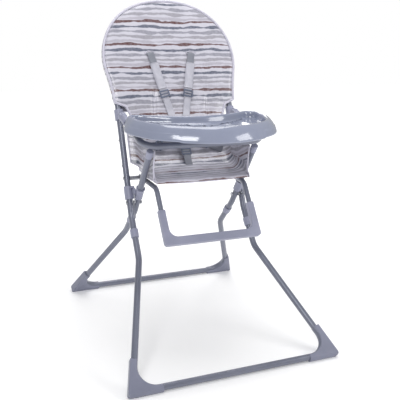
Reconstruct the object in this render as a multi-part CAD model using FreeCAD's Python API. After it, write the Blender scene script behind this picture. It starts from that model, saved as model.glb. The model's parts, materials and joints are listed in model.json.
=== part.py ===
import FreeCAD, Part
import math
import os

# Folding baby high chair. Millimetres, +Z up, the chair faces -Y, symmetric about X = 0.
# The origin is on the floor, midway between the front and the rear floor bars.

# ---- driving dimensions ----
TUBE_R = 10.0            # outer radius of the main frame tubes
TUBE_WALL = 1.2
SEAT_TUBE_R = 8.0
GAP = 0.3                # clearance between a tube and what is moulded round it
PIVOT_Y = 58.0           # where the two frames cross, seen from the side
PIVOT_Z = 424.0
BACK_RAKE = 24.0         # back frame, degrees from the vertical, leaning back
POST_RAKE = 32.5         # rear leg frame, degrees from the vertical, leaning forward
BACK_X = 200.0           # half spacing of the back frame tubes
POST_X = 176.0           # half spacing of the rear leg frame tubes
RAIL_X = 150.0           # half spacing of the seat rails
FOOT_R = 13.5            # outer radius of the plastic floor feet
FLOOR_BAR_Z = 13.0       # centre height of the floor bars
FLOOR_BAR_Y = 371.0      # centre of each floor bar, forward and back of the origin
FRONT_CORNER_X = 326.0   # where a front leg line meets its floor bar
REAR_CORNER_X = 311.0
BACK_BEND_A = -45.0      # bend in the back tube, measured along it from the pivot
FRONT_BEND = (203.0, -48.0, 270.0)
REAR_BEND = (178.0, 172.0, 290.0)
HOOP_START_A = 310.0     # the hoop begins to swell out of the straight sides here
HOOP_FLARE = 14.1        # degrees that the sides turn out
HOOP_FLARE_R = 488.0
HOOP_SIDE_R = 184.0
HOOP_TURN = 70.0         # degrees past the widest point where the crown arc starts
POST_TOP_S = 222.0       # upper end of a post tube, measured along it from the pivot
SLEEVE_R = 13.0          # plastic joint sleeves between frame and leg tubes
SLEEVE_LENGTH = 28.0
ARM_PIVOT_A = 278.0
ARM_PIVOT_P = 31.0       # arm pivots stand this far in front of the back tube
ARM_FRONT = (-78.0, 634.0)   # Y, Z of the arm tube's front bar
ARM_BEND_R = 45.0
SEAT_RAIL_Z = 497.0
SEAT_BEND = (-52.0, 497.0)   # Y, Z where the seat rails turn down
FOOTREST = (-158.0, 358.0)   # Y, Z of the footrest bar
TRAY_TOP = 712.0
TRAY_FLOOR = 688.0
TRAY_SKIRT = 667.0
TRAY_WALL = 3.0
STRAP_WIDTH = 25.0
STRAP_THICK = 1.6


def vec(x, y, z):
    return FreeCAD.Vector(x, y, z)


def save(shape, name):
    """Write one node."""
    os.makedirs("parts", exist_ok=True)
    shape.exportStep("parts/" + name + ".step")


def mirrored(shape):
    return shape.mirror(vec(0, 0, 0), vec(1, 0, 0))


def save_pair(shape_right, name):
    """Write a right-hand piece and its mirror image."""
    save(shape_right, name + "_right")
    save(mirrored(shape_right), name + "_left")


# ---- frame coordinates: x across, a along the tube line, p square to it, forward ----
def raked_placement(angle):
    return FreeCAD.Placement(vec(0, PIVOT_Y, PIVOT_Z), FreeCAD.Rotation(vec(1, 0, 0), angle))


BACK_PLANE = raked_placement(90.0 - BACK_RAKE)
POST_PLANE = raked_placement(90.0 + POST_RAKE)


def on_back(x, a, p):
    return BACK_PLANE.multVec(vec(x, a, p))


def on_post(x, s, p):
    return POST_PLANE.multVec(vec(x, s, p))


def placed(shape, placement):
    moved = shape.copy()
    moved.Placement = placement.multiply(moved.Placement)
    return moved


# ---- tubes ----
def bent_path(points, radii):
    """Straight runs joined by tangent arcs; radii has one entry for each inner point."""
    edges = []
    start = points[0]
    for i, radius in enumerate(radii):
        before, corner, after = points[i], points[i + 1], points[i + 2]
        into = (corner - before).normalize()
        out = (after - corner).normalize()
        half_turn = into.getAngle(out) / 2.0
        reach = radius * math.tan(half_turn)
        first = corner - into * reach
        last = corner + out * reach
        inward = (out - into).normalize()
        middle = corner + inward * (radius / math.cos(half_turn) - radius)
        if (first - start).Length > 1e-6:
            edges.append(Part.LineSegment(start, first).toShape())
        edges.append(Part.Arc(first, middle, last).toShape())
        start = last
    edges.append(Part.LineSegment(start, points[-1]).toShape())
    return Part.Wire(edges)


def swept(path, radius):
    """A round bar along a wire."""
    first = path.OrderedEdges[0]
    start = first.valueAt(first.FirstParameter)
    heading = first.tangentAt(first.FirstParameter)
    if (start - path.OrderedVertexes[0].Point).Length > 1e-6:
        start = first.valueAt(first.LastParameter)
        heading = first.tangentAt(first.LastParameter) * -1.0
    ring = Part.Wire([Part.makeCircle(radius, start, heading)])
    return path.makePipeShell([ring], True, False)


def bar(points, radii, radius):
    return swept(bent_path(points, radii), radius)


def lengthened(points, extra):
    first = points[0] + (points[0] - points[1]).normalize() * extra
    last = points[-1] + (points[-1] - points[-2]).normalize() * extra
    return [first] + list(points[1:-1]) + [last]


def tube(points, radii, radius, wall=TUBE_WALL):
    """An open-ended hollow tube."""
    core = bar(lengthened(points, 1.0), radii, radius - wall)
    return bar(points, radii, radius).cut(core)


def rod(start, end, radius):
    span = end - start
    return Part.makeCylinder(radius, span.Length, start, span)


def cross_rod(x0, x1, y, z, radius):
    """A cylinder along X."""
    return Part.makeCylinder(radius, x1 - x0, vec(x0, y, z), vec(1, 0, 0))


def cross_hole(x, y, z, radius):
    """The cutter for a hole across a tube whose centre is at x."""
    reach = TUBE_R + 5.0
    return cross_rod(x - reach, x + reach, y, z, radius)


def fused(shapes):
    solid = shapes[0].multiFuse(shapes[1:])
    return solid.removeSplitter()


def rounded(shape, radius, wanted):
    """Fillet the edges for which wanted(edge) is true."""
    edges = [edge for edge in shape.Edges if wanted(edge)]
    return shape.makeFillet(radius, edges)


# ---- shared points ----
def mirror_point(point):
    return vec(-point.x, point.y, point.z)


def both_sides(points):
    """The points of one side from the middle outwards, then mirrored back in reverse."""
    return [mirror_point(p) for p in points] + list(reversed(points))


BACK_BEND = on_back(BACK_X, BACK_BEND_A, 0)
FRONT_BEND_POINT = vec(*FRONT_BEND)
REAR_BEND_POINT = vec(*REAR_BEND)
FRONT_CORNER = vec(FRONT_CORNER_X, -FLOOR_BAR_Y, FLOOR_BAR_Z)
REAR_CORNER = vec(REAR_CORNER_X, FLOOR_BAR_Y, FLOOR_BAR_Z)
FRONT_JOINT = BACK_BEND + (FRONT_BEND_POINT - BACK_BEND) * 0.40
REAR_TOP_BEND = on_post(POST_X, -40.0, 0)
REAR_JOINT = REAR_TOP_BEND + (REAR_BEND_POINT - REAR_TOP_BEND) * 0.38
ARM_PIVOT = on_back(BACK_X, ARM_PIVOT_A, ARM_PIVOT_P)
ARM_CORNER = vec(BACK_X, ARM_FRONT[0], ARM_FRONT[1])
ARM_LINE = (ARM_CORNER - ARM_PIVOT).normalize()
ARM_TURN = math.degrees(math.atan2(ARM_LINE.z, ARM_LINE.y))
SEAT_PIVOT_A = (SEAT_RAIL_Z - PIVOT_Z) / math.cos(math.radians(BACK_RAKE))
SEAT_PIVOT = on_back(BACK_X, SEAT_PIVOT_A, 0)
FRAME_BEND_R = 120.0
LEG_BEND_R = 90.0
FLOOR_BEND_R = 58.0
BOLT_R = 4.0
SEAT_BOLT_R = 3.5
HOLE_PLAY = 0.06         # running clearance of a bolt in a turning tube
TIGHT_PLAY = 0.02
PUSH_FIT = 0.1           # clearance of a moulding pushed onto a tube


# ---- hoop outline, in the back frame's own plane ----
def hoop_arc(start, heading, turn, radius):
    """One tangent arc. heading and turn in degrees; a positive turn goes clockwise."""
    side = 1.0 if turn > 0 else -1.0
    h0 = math.radians(heading)
    centre = vec(start.x + side * radius * math.cos(h0), start.y - side * radius * math.sin(h0), 0)

    def at(angle):
        h = math.radians(angle)
        return vec(centre.x - side * radius * math.cos(h), centre.y + side * radius * math.sin(h), 0)

    end = at(heading + turn)
    return Part.Arc(start, at(heading + turn / 2.0), end).toShape(), end


def hoop_edges(offset):
    """The hoop, offset outwards: the right-hand side's two arcs, then the whole crown arc."""
    point = vec(BACK_X + offset, HOOP_START_A, 0)
    flare, point = hoop_arc(point, 0.0, HOOP_FLARE, HOOP_FLARE_R - offset)
    side, point = hoop_arc(point, HOOP_FLARE, -HOOP_FLARE - HOOP_TURN, HOOP_SIDE_R + offset)
    turned = math.radians(HOOP_TURN)
    crown_radius = point.x / math.cos(turned)
    peak = point.y + crown_radius * (1.0 - math.sin(turned))
    crown = Part.Arc(point, vec(0, peak, 0), mirror_point(point)).toShape()
    return flare, side, crown


def back_tube_path(extra=0.0):
    """Left joint, up the left side, over the hoop and down the right side."""
    lower_end = FRONT_JOINT + (FRONT_JOINT - BACK_BEND).normalize() * extra
    straight = bent_path([lower_end, BACK_BEND, on_back(BACK_X, HOOP_START_A, 0)], [FRAME_BEND_R])
    flare, side, crown = [placed(edge, BACK_PLANE) for edge in hoop_edges(0.0)]
    half = straight.OrderedEdges + [flare, side]
    return Part.Wire(Part.__sortEdges__(half + [mirrored(edge) for edge in half] + [crown]))


def sweep_from(path, start, heading, radius):
    ring = Part.Wire([Part.makeCircle(radius, start, heading)])
    return path.makePipeShell([ring], True, False)


def make_back_tube():
    heading = (BACK_BEND - FRONT_JOINT).normalize()
    outer = sweep_from(back_tube_path(), FRONT_JOINT, heading, TUBE_R)
    start = FRONT_JOINT - heading
    inner = sweep_from(back_tube_path(1.0), start, heading, TUBE_R - TUBE_WALL)
    body = outer.cut(inner)
    for x in (-BACK_X, BACK_X):
        body = body.cut(cross_hole(x, PIVOT_Y, PIVOT_Z, BOLT_R + TIGHT_PLAY))
        body = body.cut(cross_hole(x, SEAT_PIVOT.y, SEAT_PIVOT.z, SEAT_BOLT_R + TIGHT_PLAY))
    return body


# ---- legs ----
def front_leg_points():
    return both_sides([FRONT_JOINT, FRONT_BEND_POINT, FRONT_CORNER])


def rear_leg_points():
    return both_sides([REAR_JOINT, REAR_BEND_POINT, REAR_CORNER])


LEG_RADII = [LEG_BEND_R, FLOOR_BEND_R, FLOOR_BEND_R, LEG_BEND_R]
FOOT_LEG = 96.0          # how far a foot reaches up its leg and along its floor bar
FOOT_BAR = 88.0
FOOT_HALF = 12.5         # half thickness of a foot, square to the plane of its bend
FOOT_INNER = 6.0         # how far it reaches past the tube's centre, inside the bend
FOOT_TIP_R = 10.0
FOOT_EDGE_R = 3.0


def make_leg_u(points):
    """A leg tube: down one side, along the floor and up the other, short of the joints."""
    return tube(lengthened(points, -0.4), LEG_RADII, TUBE_R)


def make_sleeve(centre, direction, length=SLEEVE_LENGTH):
    """A moulded joint sleeve with a raised collar at each end."""
    axis = direction.normalize()
    start = centre - axis * (length / 2.0)
    body = rod(start, start + axis * length, SLEEVE_R)
    body = rounded(body, 1.2, lambda edge: edge.Length > 1.0 and edge.Closed)
    bore = rod(start - axis, start + axis * (length + 1.0), TUBE_R + GAP)
    return body.cut(bore)


def foot_outline(up, along, corner):
    """A pointed outer corner, and an inner edge that follows the bend of the tube."""
    half_angle = up.getAngle(along) / 2.0
    inward = (up + along).normalize()
    leg_out = (up * up.dot(along) - along).normalize()
    bar_out = (along * up.dot(along) - up).normalize()
    tangent = FLOOR_BEND_R / math.tan(half_angle)
    bend_centre = corner + inward * (FLOOR_BEND_R / math.sin(half_angle))
    leg_end = corner + up * FOOT_LEG
    bar_end = corner + along * FOOT_BAR
    bar_tangent = corner + along * tangent - bar_out * FOOT_INNER
    leg_tangent = corner + up * tangent - leg_out * FOOT_INNER
    points = [
        leg_tangent, leg_end - leg_out * FOOT_INNER, leg_end + leg_out * FOOT_R,
        corner - inward * (FOOT_R / math.sin(half_angle)),
        bar_end + bar_out * FOOT_R, bar_end - bar_out * FOOT_INNER, bar_tangent,
    ]
    edges = [Part.LineSegment(p, q).toShape() for p, q in zip(points, points[1:])]
    middle = bend_centre - inward * (FLOOR_BEND_R - FOOT_INNER)
    edges.append(Part.Arc(bar_tangent, middle, leg_tangent).toShape())
    return Part.Wire(edges), points[3]


def make_foot(bend, corner, tube_points):
    """A corner boot clipped over the tube's floor bend from outside, flat where it stands."""
    up = (bend - corner).normalize()
    along = vec(-1, 0, 0)
    normal = up.cross(along).normalize()
    outline, tip = foot_outline(up, along, corner)
    body = Part.Face(outline).extrude(normal * (FOOT_HALF * 2.0))
    body = rounded(body, FOOT_TIP_R, lambda edge: edge.Length < FOOT_HALF * 2.0 + 1.0
                   and (edge.CenterOfMass - tip).dot(up + along) < FOOT_TIP_R
                   and abs(edge.tangentAt(edge.FirstParameter).dot(normal)) > 0.9)
    body = rounded(body, FOOT_EDGE_R, lambda edge: edge.Length > FOOT_R
                   and abs(edge.tangentAt(edge.FirstParameter).dot(normal)) < 0.1)
    body.translate(normal * -FOOT_HALF)
    core = bar(lengthened(tube_points, 60.0), LEG_RADII, TUBE_R + GAP)
    span = FLOOR_BAR_Y + FOOT_R
    standing = Part.makeBox(1200, span * 2.0, 400, vec(-600, -span, 0))
    body = body.cut(core).common(standing)
    return max(body.Solids, key=lambda piece: piece.Volume)


# ---- lock sliders on the back tubes, collars on the posts ----
LOCK_A0 = 11.0
LOCK_A1 = 53.0
MID_GAP_X = (BACK_X + POST_X) / 2.0
WING_OUT = 3.6           # outer face of the slider's wing, from the middle of the gap
WING_IN = 0.4
WIRE_R = 1.6
SLIDER_R = 14.0
COLLAR_R = 13.5
LIP_R = 15.0


def make_lock_slider():
    """A sleeve on the back tube with a forward wing beside the post."""
    length = LOCK_A1 - LOCK_A0
    sleeve = Part.makeCylinder(SLIDER_R, length, vec(BACK_X, LOCK_A0, 0), vec(0, 1, 0))
    wing_points = [
        vec(0, LOCK_A0, 0), vec(0, LOCK_A0, 22), vec(0, LOCK_A0 + 8, 34),
        vec(0, LOCK_A0 + 27, 44), vec(0, LOCK_A0 + 33, 30), vec(0, LOCK_A1, 0), vec(0, LOCK_A0, 0),
    ]
    wing = Part.Face(Part.makePolygon(wing_points)).extrude(vec(WING_OUT - WING_IN, 0, 0))
    inner_face = MID_GAP_X + WING_IN
    wing.translate(vec(inner_face, 0, 0))
    rib = Part.makeBox(8.0, 5.0, 24.0, vec(inner_face, LOCK_A1 - 9.0, 8.0))
    body = fused([sleeve, wing, rib])
    body = body.cut(Part.makeBox(40, 200, 120, vec(inner_face - 40, -50, -60)))
    bore = Part.makeCylinder(TUBE_R + GAP, 200, vec(BACK_X, -50, 0), vec(0, 1, 0))
    return placed(body.cut(bore), BACK_PLANE)


def make_pull_wire():
    """A wire finger pull looped below the lock slider."""
    x = MID_GAP_X + WING_OUT + WIRE_R + PUSH_FIT
    drop = [(10.8, LOCK_A0 - 0.4), (13.0, -6.0), (36.0, -5.0), (36.0, LOCK_A0 + 13.0)]
    points = [vec(x, a, p) for p, a in drop]
    return placed(bar(points, [5.0, 5.0], WIRE_R), BACK_PLANE)


COLLAR_S0 = 24.0
COLLAR_S1 = 66.0


def make_lock_collar():
    """A collar fixed on the post beside the slider, with a flared upper lip."""
    length = COLLAR_S1 - COLLAR_S0
    sleeve = Part.makeCylinder(COLLAR_R, length, vec(POST_X, COLLAR_S0, 0), vec(0, 1, 0))
    lip = Part.makeCone(COLLAR_R, LIP_R, 8.0, vec(POST_X, COLLAR_S1 - 8.0, 0), vec(0, 1, 0))
    body = fused([sleeve, lip])
    body = body.cut(Part.makeBox(40, 300, 80, vec(MID_GAP_X - WING_IN, -50, -40)))
    bore = Part.makeCylinder(TUBE_R + PUSH_FIT, 300, vec(POST_X, -50, 0), vec(0, 1, 0))
    return placed(body.cut(bore), POST_PLANE)


# ---- posts ----
def make_post():
    """Straight post above the pivot, bent back below it to the joint sleeve."""
    points = [on_post(POST_X, POST_TOP_S, 0), REAR_TOP_BEND, REAR_JOINT]
    body = tube(points, [FRAME_BEND_R], TUBE_R)
    return body.cut(cross_hole(POST_X, PIVOT_Y, PIVOT_Z, BOLT_R + HOLE_PLAY))


CAP_R = 11.0
CAP_SKIRT = 18.0


def make_post_cap():
    """Push-on cap: a skirt round the tube and a domed end."""
    skirt_foot = vec(POST_X, POST_TOP_S - CAP_SKIRT, 0)
    skirt = Part.makeCylinder(CAP_R, CAP_SKIRT + 8.0, skirt_foot, vec(0, 1, 0))
    skirt = rounded(skirt, 2.5, lambda edge: edge.Closed and edge.CenterOfMass.y > POST_TOP_S)
    room = Part.makeCylinder(TUBE_R + PUSH_FIT, CAP_SKIRT + PUSH_FIT, skirt_foot, vec(0, 1, 0))
    return placed(skirt.cut(room), POST_PLANE)


# ---- bolts ----
RIVET_LIFT = 0.05        # air between a metal face and the tube it bears on
RIVET_A = (121.0, 205.0)     # rivet positions along the back tube


def bolt(x_head, x_tail, y, z, shank, head_r, head_h, spacers=()):
    """A cross bolt from its outer domed head (x_head) inwards to its nut (x_tail)."""
    parts = [cross_rod(x_tail, x_head, y, z, shank)]
    head = Part.makeCone(head_r, head_r * 0.6, head_h, vec(x_head, y, z), vec(1, 0, 0))
    parts.append(head)
    nut = cross_rod(x_tail - 5.0, x_tail, y, z, head_r * 0.8)
    parts.append(nut)
    for x0, x1, radius in spacers:
        parts.append(cross_rod(x0, x1, y, z, radius))
    return fused(parts)


def make_pivot_bolt():
    spacer = (POST_X + TUBE_R + GAP, BACK_X - TUBE_R - RIVET_LIFT, 7.5)
    return bolt(BACK_X + TUBE_R + PUSH_FIT, POST_X - TUBE_R - GAP, PIVOT_Y, PIVOT_Z,
                BOLT_R, 7.5, 3.0, [spacer])


def make_seat_bolt():
    spacer = (RAIL_X + SEAT_TUBE_R + GAP, BACK_X - TUBE_R - RIVET_LIFT, 7.0)
    return bolt(BACK_X + TUBE_R + PUSH_FIT, RAIL_X - SEAT_TUBE_R - GAP, SEAT_PIVOT.y, SEAT_PIVOT.z,
                SEAT_BOLT_R, 6.5, 2.6, [spacer])


def make_rivets():
    """Domed rivet heads on the outside of the back tubes."""
    heads = []
    for along in RIVET_A:
        base = on_back(BACK_X + TUBE_R + RIVET_LIFT, along, 0)
        head = Part.makeCone(4.2, 2.4, 2.2, base, vec(1, 0, 0))
        heads += [head, mirrored(head)]
    return Part.makeCompound(heads)


# ---- arms ----
EAR_R = 12.0
LUG_HALF = 4.0
PIN_R = 3.5
CLAMP_A0 = 272.0
CLAMP_A1 = 306.0
CLAMP_R = 14.5


def make_arm_clamp():
    """A sleeve on the back tube with a forward lug that carries the arm pivot."""
    sleeve = Part.makeCylinder(CLAMP_R, CLAMP_A1 - CLAMP_A0, vec(BACK_X, CLAMP_A0, 0), vec(0, 1, 0))
    lug = Part.makeBox(LUG_HALF * 2, 20.0, ARM_PIVOT_P, vec(BACK_X - LUG_HALF, ARM_PIVOT_A - 6.0, 0))
    eye = Part.makeCylinder(EAR_R, LUG_HALF * 2,
                            vec(BACK_X - LUG_HALF, ARM_PIVOT_A, ARM_PIVOT_P), vec(1, 0, 0))
    body = fused([sleeve, lug, eye])
    body = body.cut(Part.makeCylinder(TUBE_R + PUSH_FIT, 80.0, vec(BACK_X, 250.0, 0), vec(0, 1, 0)))
    body = body.cut(Part.makeCylinder(PIN_R + HOLE_PLAY, 40.0,
                                      vec(BACK_X - 20, ARM_PIVOT_A, ARM_PIVOT_P), vec(1, 0, 0)))
    return placed(body, BACK_PLANE)


SOCKET_START = 15.5      # distances along the arm from its pivot
SOCKET_END = 58.0
SOCKET_R = 12.5
ARM_TUBE_START = 24.0
KNUCKLE_HALF = 10.0      # half width of the fork


def make_arm_socket():
    """The arm tube's plastic end: a forked knuckle on a sleeve, with its pivot pin."""
    start = ARM_PIVOT + ARM_LINE * SOCKET_START
    end = ARM_PIVOT + ARM_LINE * SOCKET_END
    parts = [rod(start, end, SOCKET_R)]
    cheek = KNUCKLE_HALF - LUG_HALF - GAP
    for x0 in (BACK_X - KNUCKLE_HALF, BACK_X + KNUCKLE_HALF - cheek):
        parts.append(cross_rod(x0, x0 + cheek, ARM_PIVOT.y, ARM_PIVOT.z, EAR_R - 1.0))
        plate = Part.makeBox(cheek, SOCKET_START + 4.0, 20.0, vec(0, 0, -10.0))
        plate.rotate(vec(0, 0, 0), vec(1, 0, 0), ARM_TURN)
        plate.translate(vec(x0, ARM_PIVOT.y, ARM_PIVOT.z))
        parts.append(plate)
    x1 = BACK_X + KNUCKLE_HALF
    pin = cross_rod(BACK_X - KNUCKLE_HALF, x1, ARM_PIVOT.y, ARM_PIVOT.z, PIN_R)
    head = Part.makeCone(5.5, 4.0, 2.0, vec(x1, ARM_PIVOT.y, ARM_PIVOT.z), vec(1, 0, 0))
    body = fused(parts + [pin, head])
    bore_start = ARM_PIVOT + ARM_LINE * (ARM_TUBE_START - GAP)
    bore_end = ARM_PIVOT + ARM_LINE * (SOCKET_END + 2.0)
    return body.cut(rod(bore_start, bore_end, TUBE_R + PUSH_FIT))


def arm_tube_points():
    start = ARM_PIVOT + ARM_LINE * ARM_TUBE_START
    return both_sides([start, ARM_CORNER])


def make_arm_tube():
    return tube(arm_tube_points(), [ARM_BEND_R, ARM_BEND_R], TUBE_R)


# ---- tray ----
TRAY_REAR_Y = 0.0
TRAY_FRONT_Y = -246.0
TRAY_HALF = 246.0


def tray_outline(z):
    """Kidney-shaped outline: concave towards the child, broad and convex in front."""
    def arc(p, q, r):
        return Part.Arc(vec(p[0], p[1], z), vec(q[0], q[1], z), vec(r[0], r[1], z)).toShape()
    rear_end = (158.0, 28.0)
    horn_end = (226.0, 24.0)
    side_end = (232.0, -92.0)
    shoulder_end = (150.0, -196.0)
    right = [
        arc(rear_end, (196.0, 45.0), horn_end),
        arc(horn_end, (TRAY_HALF, -30.0), side_end),
        arc(side_end, (201.0, -154.0), shoulder_end),
    ]
    front = arc(shoulder_end, (0.0, TRAY_FRONT_Y), (-shoulder_end[0], shoulder_end[1]))
    rear = arc((-rear_end[0], rear_end[1]), (0.0, TRAY_REAR_Y), rear_end)
    left = [mirrored(edge) for edge in right]
    return Part.Wire(Part.__sortEdges__(right + [front] + left + [rear]))


def outline_solid(offset, z0, z1):
    wire = tray_outline(z0)
    if offset:
        wire = wire.makeOffset2D(offset)
    return Part.Face(wire).extrude(vec(0, 0, z1 - z0))


RIM_WIDTH = 17.0
REAR_SKIRT_Y = -24.0     # behind this line the skirt is cut away so that the posts can pass
RIB_LENGTH = 180.0
RIB_ROWS = (-60.0, -86.0, -112.0)


def make_tray():
    """A raised hollow rim round a recessed floor, with ribs across the floor."""
    body = outline_solid(0, TRAY_SKIRT, TRAY_TOP)
    body = body.cut(outline_solid(-RIM_WIDTH, TRAY_FLOOR, TRAY_TOP + 5.0))
    hollow = outline_solid(-TRAY_WALL, TRAY_SKIRT - 1.0, TRAY_TOP - TRAY_WALL)
    keep_well = outline_solid(-(RIM_WIDTH - TRAY_WALL), TRAY_FLOOR - TRAY_WALL, TRAY_TOP)
    body = body.cut(hollow.cut(keep_well))
    below = TRAY_FLOOR - TRAY_WALL - TRAY_SKIRT
    body = body.cut(Part.makeBox(600.0, 120.0, below + 5.0, vec(-300.0, REAR_SKIRT_Y, TRAY_SKIRT - 5.0)))
    ribs = []
    for y in RIB_ROWS:
        ribs.append(Part.makeBox(RIB_LENGTH, 5.0, 2.4, vec(-RIB_LENGTH / 2.0, y, TRAY_FLOOR - 0.5)))
    return fused([body] + ribs)


CLIP_START = 92.0        # from the arm pivot, along the arm
CLIP_LENGTH = 44.0
CLIP_WIDTH = 25.0
CLIP_BELOW = 5.0         # how far the saddle's legs reach below the arm's centre


def make_tray_clip():
    """A saddle under the tray that straddles the arm tube and stands up to the tray floor."""
    height = 80.0
    block = Part.makeBox(CLIP_WIDTH, CLIP_LENGTH, height, vec(0, 0, CLIP_BELOW - height))
    # Turned so that its length runs along the arm and its local z points down.
    block.rotate(vec(0, 0, 0), vec(1, 0, 0), ARM_TURN)
    start = ARM_PIVOT + ARM_LINE * CLIP_START
    block.translate(vec(MID_GAP_X + 0.2, start.y, start.z))
    above_floor = Part.makeBox(600, 900, 300, vec(-300, -450, TRAY_FLOOR - TRAY_WALL - PUSH_FIT))
    block = block.cut(above_floor)
    groove = rod(ARM_PIVOT + ARM_LINE * 20.0, ARM_PIVOT + ARM_LINE * 240.0, TUBE_R + GAP)
    return block.cut(groove)


# ---- seat ----
SEAT_TUBE_WALL = 1.0


def seat_tube_points():
    rear = vec(RAIL_X, SEAT_PIVOT.y + 14.0, SEAT_RAIL_Z)
    bend = vec(RAIL_X, SEAT_BEND[0], SEAT_BEND[1])
    foot = vec(RAIL_X, FOOTREST[0], FOOTREST[1])
    return both_sides([rear, bend, foot])


SEAT_RADII = [35.0, 30.0, 30.0, 35.0]


def make_seat_tube():
    body = tube(seat_tube_points(), SEAT_RADII, SEAT_TUBE_R, SEAT_TUBE_WALL)
    for x in (-RAIL_X, RAIL_X):
        body = body.cut(cross_hole(x, SEAT_PIVOT.y, SEAT_PIVOT.z, SEAT_BOLT_R + HOLE_PLAY))
    return body


COVER_START = 0.42       # where the cover begins, as a share of the footrest arm
COVER_HALF = 10.5        # half width of the cover's arms
COVER_DEPTH = 9.4        # half thickness of the cover, front to back
COVER_IN_R = 26.0
COVER_OUT_R = 10.0


def make_footrest_cover():
    """A moulded U-shaped shell over the footrest bar and the lower ends of its arms."""
    bend = vec(RAIL_X, SEAT_BEND[0], SEAT_BEND[1])
    foot = vec(RAIL_X, FOOTREST[0], FOOTREST[1])
    fall = (foot - bend).normalize()
    facing = fall.cross(vec(1, 0, 0)).normalize()
    if facing.y > 0:
        facing = facing * -1.0
    top = bend + (foot - bend) * COVER_START
    drop = (foot - top).Length

    def flat(x, down, out):
        base = vec(0, top.y, top.z) + fall * down + facing * out
        return vec(x, base.y, base.z)

    def rounded_corner(x, down, radius):
        """A quarter arc inside the corner at (x, down), from its upright to its level side."""
        near = radius * (1.0 - math.sqrt(0.5))
        return Part.Arc(flat(x, down - radius, 0), flat(x - near, down - near, 0),
                        flat(x - radius, down, 0)).toShape()

    arm_out = RAIL_X + COVER_HALF
    arm_in = RAIL_X - COVER_HALF
    lower = drop + 12.0
    upper = drop - 13.0
    runs = [
        (flat(0, upper, 0), flat(arm_in - COVER_IN_R, upper, 0)),
        (flat(arm_in, upper - COVER_IN_R, 0), flat(arm_in, 0, 0)),
        (flat(arm_in, 0, 0), flat(arm_out, 0, 0)),
        (flat(arm_out, 0, 0), flat(arm_out, lower - COVER_OUT_R, 0)),
        (flat(arm_out - COVER_OUT_R, lower, 0), flat(0, lower, 0)),
    ]
    half_edges = [Part.LineSegment(a, b).toShape() for a, b in runs]
    half_edges.append(rounded_corner(arm_in, upper, COVER_IN_R))
    half_edges.append(rounded_corner(arm_out, lower, COVER_OUT_R))
    edges = half_edges + [mirrored(edge) for edge in half_edges]
    wire = Part.Wire(Part.__sortEdges__(edges))
    body = Part.Face(wire).extrude(facing * (COVER_DEPTH * 2.0))
    body.translate(facing * -COVER_DEPTH)
    body = rounded(body, 2.0, lambda edge: edge.Length > 3.0
                   and abs(edge.tangentAt(edge.FirstParameter).dot(facing)) < 0.5)
    core = bar(seat_tube_points(), SEAT_RADII, SEAT_TUBE_R + PUSH_FIT)
    return body.cut(core)


PAD_FRONT_Y = -46.0
PAD_REAR_Y = 73.0
PAD_HALF = 156.0
PAD_THICK = 24.0
FLAP_HALF = 138.0
FLAP_HEIGHT = 36.0


def make_seat_pad():
    """The padded seat base, with a rolled front edge, lying on the rails."""
    base = SEAT_RAIL_Z + SEAT_TUBE_R + 0.5
    depth = PAD_REAR_Y - PAD_FRONT_Y
    body = Part.makeBox(PAD_HALF * 2.0, depth, PAD_THICK, vec(-PAD_HALF, PAD_FRONT_Y, base))
    body = rounded(body, 9.0, lambda e: abs(e.tangentAt(e.FirstParameter).x) > 0.9
                   and e.CenterOfMass.y < PAD_FRONT_Y + 1)
    return rounded(body, 5.0, lambda e: abs(e.tangentAt(e.FirstParameter).x) > 0.9
                   and e.CenterOfMass.y > PAD_REAR_Y - 1 and e.CenterOfMass.z > base + PAD_THICK - 1)


def make_seat_valance():
    """The fabric flap across the front edge of the seat."""
    corner = vec(-FLAP_HALF, SEAT_BEND[0] - 17.0, SEAT_RAIL_Z - 10.0)
    body = Part.makeBox(FLAP_HALF * 2.0, 3.0, FLAP_HEIGHT, corner)
    return rounded(body, 1.2, lambda e: abs(e.tangentAt(e.FirstParameter).x) > 0.9)


# ---- back upholstery, in the back frame's own plane ----
PAD_FRONT_P = 20.0
PAD_REAR_P = 11.0
COVER_OUT = 15.0
PAD_BOTTOM_A = 97.0
PAD_LOWER_X = 156.0
NARROW_TOP_A = 262.0     # the cover's narrow lower part ends here
POCKET_A = 326.0         # lower corner of the pocket that slips over the hoop
SHOULDER_CORNER = (180.0, 314.0)
REAR_HEM_A = 304.0       # lower edge of the rear panel
REAR_PANEL = 2.5         # its thickness


def cover_outline(p, lower):
    """Outline of the cover: the lower corners of one side, then out and over the hoop."""
    flare, side, crown = hoop_edges(COVER_OUT)
    curve = flare.Curve
    pocket = curve.value(curve.parameter(vec(BACK_X + COVER_OUT, POCKET_A, 0)))
    flare_end = max((vertex.Point for vertex in flare.Vertexes), key=lambda point: point.y)
    middle = curve.value((curve.parameter(pocket) + curve.parameter(flare_end)) / 2.0)
    corners = [vec(x, a, 0) for x, a in lower] + [pocket]
    half = [Part.LineSegment(first, last).toShape() for first, last in zip(corners, corners[1:])]
    half += [Part.Arc(pocket, middle, flare_end).toShape(), side]
    hem = Part.LineSegment(mirror_point(corners[0]), corners[0]).toShape()
    wire = Part.Wire(Part.__sortEdges__(half + [mirrored(edge) for edge in half] + [crown, hem]))
    wire.translate(vec(0, 0, p))
    return wire


def make_back_panel(p0, p1, lower):
    return Part.Face(cover_outline(p0, lower)).extrude(vec(0, 0, p1 - p0))


SLOT_X = 74.0
SLOT_A = 494.0
SLOT_WIDTH = 32.0
SLOT_HEIGHT = 5.0


def slot_box(x):
    corner = vec(x - SLOT_WIDTH / 2.0, SLOT_A - SLOT_HEIGHT / 2.0, -40.0)
    return Part.makeBox(SLOT_WIDTH, SLOT_HEIGHT, 80.0, corner)


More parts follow.
